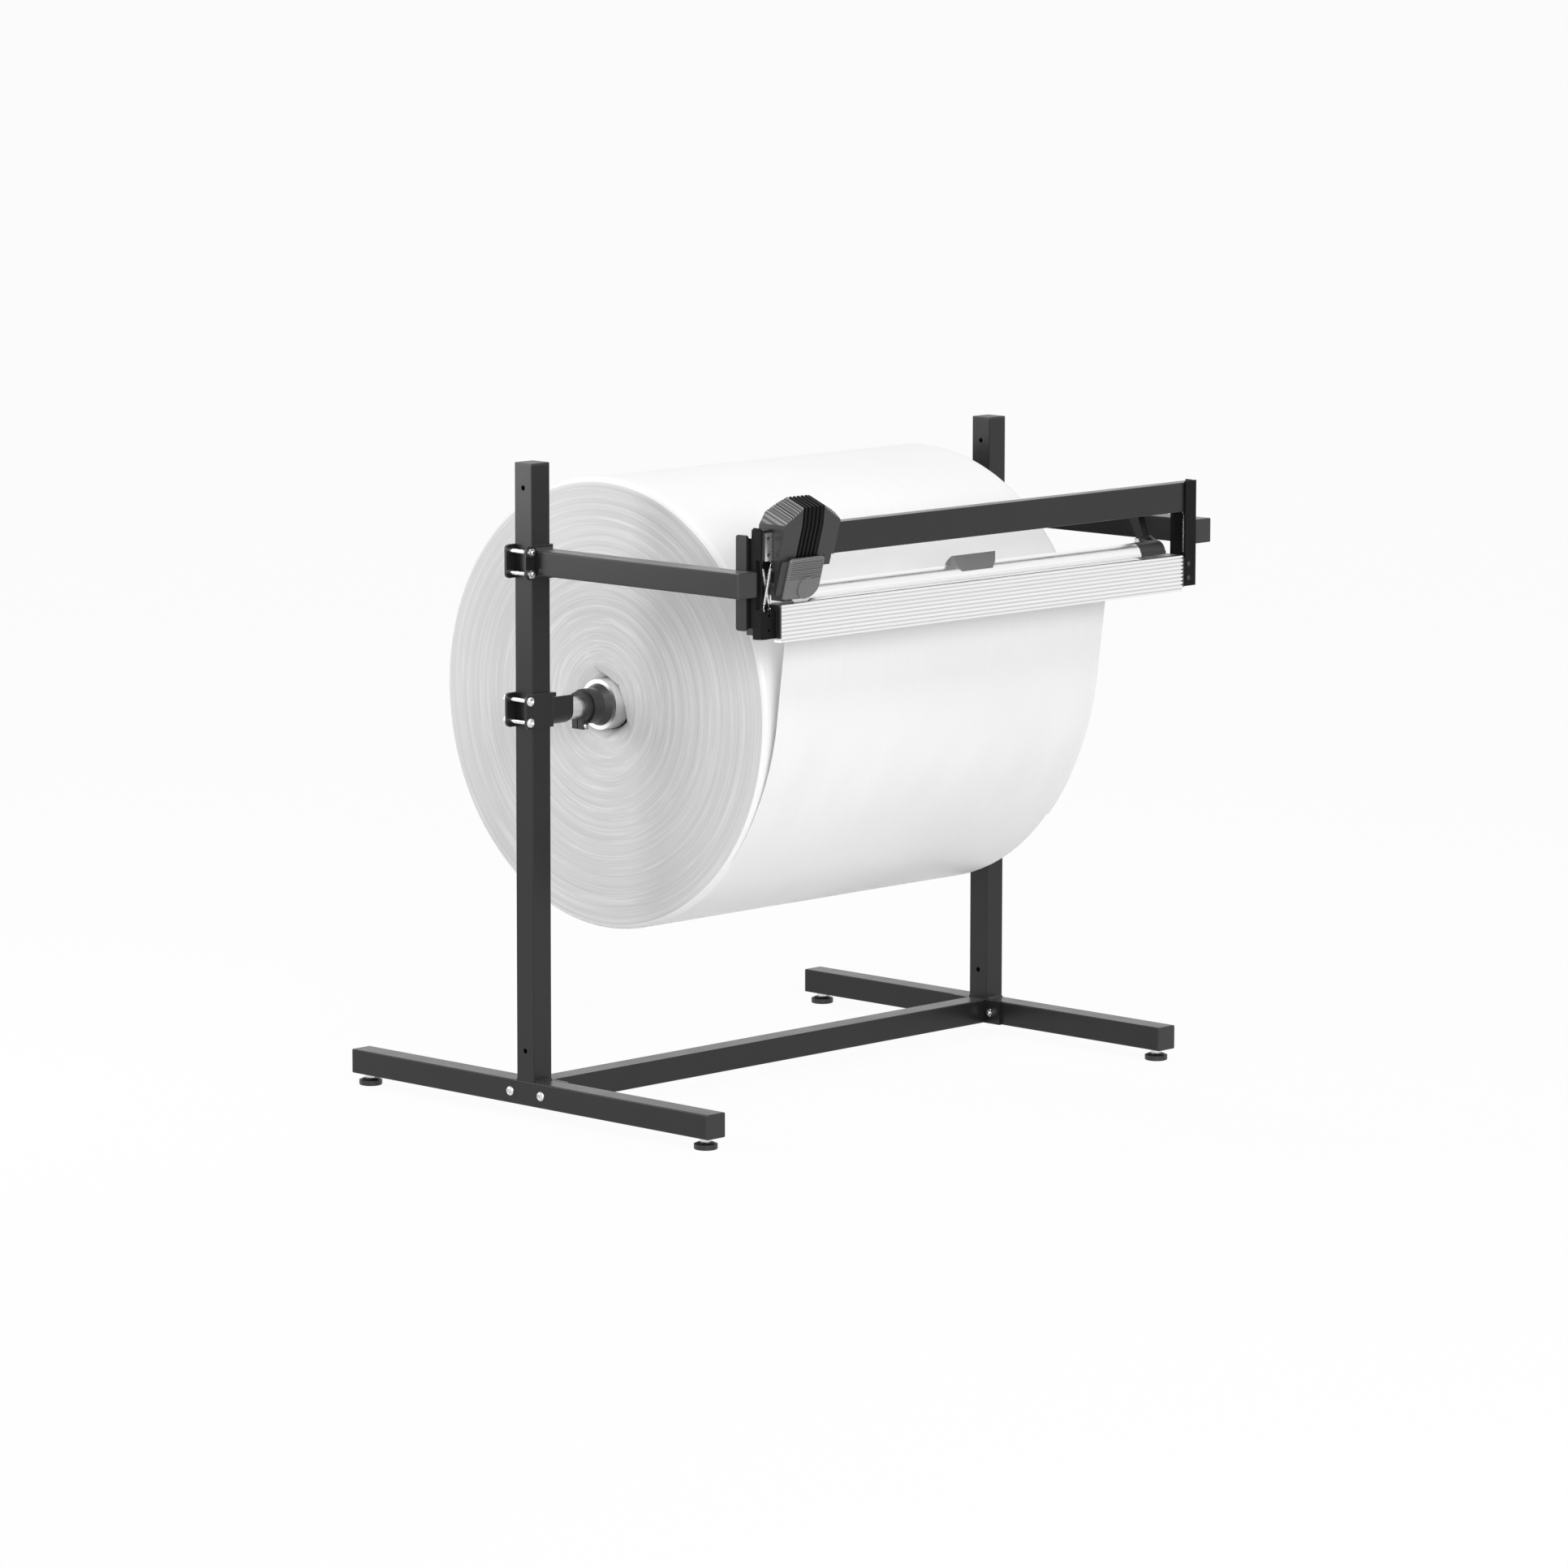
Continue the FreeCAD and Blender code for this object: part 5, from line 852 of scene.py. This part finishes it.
class STAND_OT_springs(bpy.types.Operator):
    """Wind the crossed springs in the left housing and the upright one in the right housing"""
    bl_idname = "stand.springs"
    bl_label = "Springs"

    def execute(self, context):
        sizes = context.scene.stand_fittings
        metal = bpy.data.materials["bright zinc"]
        for name, lean in (("left_fore_spring", 1), ("left_rear_spring", -1), ("right_spring", 0)):
            low, high = box(name)
            x, y, _ = (low + high) / 2
            reach = ((high - low)[0] / 2 - 0.0018) * lean
            ends = (x - reach, y, low[2] + 0.0002), (x + reach, y, high[2] - 0.0002)
            wound = coil_spring(*ends, sizes.coil, sizes.wire, sizes.coils)
            piece(name + "_wire", wound, "stand", metal, replaced=(name,), sharp=math.pi)
        return {"FINISHED"}


# How the plain bolts lie in their node's box: a bolt's middle is EDGE inside it, and its head is DEPTH high

EDGE = 0.0085
DEPTH = 0.005


class STAND_OT_fasteners(bpy.types.Operator):
    """Turn the bolts, nuts and screws that show"""
    bl_idname = "stand.fasteners"
    bl_label = "Bolts and nuts"

    def execute(self, context):
        sizes = context.scene.stand_fittings
        metal = bpy.data.materials["bright zinc"]

        def bolt(spot, axis, length):
            """A button bolt with its head's seat at the spot."""
            return dome_bolt(spot, axis, sizes.bolt_head, sizes.bolt_crown, sizes.bolt_shank, length)

        def nut(spot, axis):
            """A nut with its first face at the spot."""
            return hex_nut(spot, axis, sizes.nut_corner, sizes.nut_height, sizes.nut_bore)

        def fit(group, bolts, nuts):
            """Put a group's bolts and nuts in place of its plain ones."""
            piece(group + "_button_bolts", join(bolts), "stand", metal, replaced=(group + "_bolts",))
            piece(group + "_hex_nuts", join(nuts), "stand", metal, replaced=(group + "_nuts",))

        for group in ("arm_clamp", "cradle_clamp"):
            (low, high), (nut_low, nut_high) = box(group + "_bolts"), box(group + "_nuts")
            facing = 1 if nut_high[1] < (low + high)[1] / 2 else -1
            seat, face = (high[1] - DEPTH, nut_high[1]) if facing > 0 else (low[1] + DEPTH, nut_low[1])
            length = (high - low)[1] - DEPTH - 0.0001
            spots = [(x, z) for x in (low[0] + EDGE, high[0] - EDGE) for z in (low[2] + EDGE, high[2] - EDGE)]
            fit(group, [bolt((x, seat, z), (0, -facing, 0), length) for x, z in spots],
                [nut((x, face, z), (0, -facing, 0)) for x, z in spots])

        low, high = box("cross_tube_bolts")
        seat, face = high[0] - DEPTH, box("cross_tube_nuts")[1][0]
        z = (low + high)[2] / 2
        past_face = 0.0094
        spots = [(side, y) for side in (-1, 1) for y in (low[1] + EDGE, high[1] - EDGE)]
        fit("cross_tube", [bolt((seat * side, y, z), (-side, 0, 0), seat - face + past_face) for side, y in spots],
            [nut((face * side, y, z), (-side, 0, 0)) for side, y in spots])

        low, high = box("foot_nuts")
        corner = sizes.foot_corner
        flat = corner * math.cos(math.pi / 6)
        feet = [hex_nut((x, y, low[2]), (0, 0, 1), corner, (high - low)[2], sizes.foot_bore)
                for x in (low[0] + corner, high[0] - corner) for y in (low[1] + flat, high[1] - flat)]
        piece("foot_hex_nuts", join(feet), "stand", metal, replaced=("foot_nuts",))
        return {"FINISHED"}


class STAND_OT_welds(bpy.types.Operator):
    """Lay the weld beads where the uprights stand on the foot bars and the arms meet their clamps"""
    bl_idname = "stand.welds"
    bl_label = "Welds"

    def execute(self, context):
        sizes = context.scene.stand_fittings
        inset, sunk = 0.003, 0.0005
        runs = []
        bar_top = box("left_foot_bar")[1][2] - sunk
        clamp_face = box("left_arm_clamp")[0][1] - sunk
        level = sum(box("left_arm_clamp"))[2] / 2
        for upright in ("left_upright", "right_upright"):
            low, high = box(upright)
            left, right = low[0] + inset, high[0] - inset
            half = (high - low)[0] / 2 + sunk
            for way in (-1, 1):
                y = AXLE_Y + half * way
                runs.append(weld_bead((left, y, bar_top), (right, y, bar_top), sizes.post_weld))
                z = level + half * way
                runs.append(weld_bead((left, clamp_face, z), (right, clamp_face, z), sizes.arm_weld))
        piece("weld_beads", join(runs), "stand", bpy.data.materials["powder coat"])
        return {"FINISHED"}


class STAND_OT_finishes(bpy.types.Operator):
    """Give every carried-over solid the finish of its real piece"""
    bl_idname = "stand.finishes"
    bl_label = "Finishes"

    def execute(self, context):
        tones = context.scene.stand_colours
        paint = powder_coat("powder coat", tones.paint)
        black = moulded("black moulding", tones.moulding, 0.42)
        # the head's shoulder ribs and the cover's ribs get a painted highlight on each crest and painted shade in
        # each groove
        head = moulded("knife head moulding", tones.head, 0.46, ribs=shoulder_ribs)
        cover = moulded("cover moulding", tones.cover, 0.44, ribs=cover_ribs, pale=(0.19, 0.19, 0.19))
        grip = moulded("grip moulding", tones.cover, 0.44)
        housing = moulded("housing coat", tones.housing, 0.5, shine=0.12)
        along_x = brushed("anodised aluminium", tones.metal)
        # the rail's grooves and the knife's slot get painted shade
        ribbed = brushed("ribbed aluminium", tones.metal, shade=rail_painted_shade)
        round_x = brushed("drawn aluminium", scaled(tones.metal, 0.92), run=(0.4, 700.0, 700.0), roughness=0.36)
        plate = brushed("spun aluminium", tones.metal, run=(700.0, 60.0, 60.0), roughness=0.32)
        zinc = zinc_plate("bright zinc", tones.zinc)
        steel = brushed("ground blade steel", (0.62, 0.62, 0.63), run=(300.0, 20.0, 300.0), roughness=0.24)
        by_slot = {"frame_paint": paint, "black_plastic": black, "grey_plastic": head, "aluminium": along_x,
                   "zinc": zinc, "blade_steel": steel}
        by_node = {"blade_cover": cover, "grip": grip, "roll_shaft": round_x, "left_core_plug": plate,
                   "right_core_plug": plate, "left_housing": housing, "right_housing": housing,
                   "housing_screws": black, "head_band": housing, "cutting_rail": ribbed, "stop_plate": along_x}
        for name, node in NODES.items():
            finish = by_node.get(name) or by_slot.get(SLOT_OF[name])
            if finish:
                node.data.materials.clear()
                node.data.materials.append(finish)
        return {"FINISHED"}


class STAND_OT_studio(bpy.types.Operator):
    """Set the floor, the soft lamps and the camera"""
    bl_idname = "stand.studio"
    bl_label = "Studio"

    def execute(self, context):
        scene = context.scene
        scene.view_settings.view_transform = "Standard"
        lay_floor(scene)
        light(scene, scene.stand_studio)
        place_camera(scene, scene.stand_studio)
        return {"FINISHED"}


BUILD_ORDER = (STAND_OT_studio, STAND_OT_finishes, STAND_OT_film_roll, STAND_OT_film_web, STAND_OT_springs,
               STAND_OT_fasteners, STAND_OT_welds)
SETTINGS = {"stand_film": FilmSizes, "stand_fittings": FittingSizes, "stand_colours": StandColours,
            "stand_studio": StudioSettings}


class STAND_PT_panel(bpy.types.Panel):
    """Lists the steps and the sizes and colours they use"""
    bl_label = "Cutting stand"
    bl_idname = "STAND_PT_panel"
    bl_space_type = "VIEW_3D"
    bl_region_type = "UI"
    bl_category = "Cutting Stand"

    def draw(self, context):
        for step in BUILD_ORDER:
            self.layout.operator(step.bl_idname)
        for name, group in SETTINGS.items():
            tray = self.layout.box()
            for setting in group.__annotations__:
                tray.prop(getattr(context.scene, name), setting)


CLASSES = (*SETTINGS.values(), *BUILD_ORDER, STAND_PT_panel)


def register():
    """Register the classes and give the scene its settings."""
    for item in CLASSES:
        bpy.utils.register_class(item)
    for name, group in SETTINGS.items():
        setattr(bpy.types.Scene, name, bpy.props.PointerProperty(type=group))


def unregister():
    """Undo register, in the opposite order."""
    for name in SETTINGS:
        delattr(bpy.types.Scene, name)
    for item in reversed(CLASSES):
        bpy.utils.unregister_class(item)


def main():
    """Build everything in order."""
    register()
    for step in BUILD_ORDER:
        group, name = step.bl_idname.split(".")
        getattr(getattr(bpy.ops, group), name)()


if __name__ == "__main__":
    main()
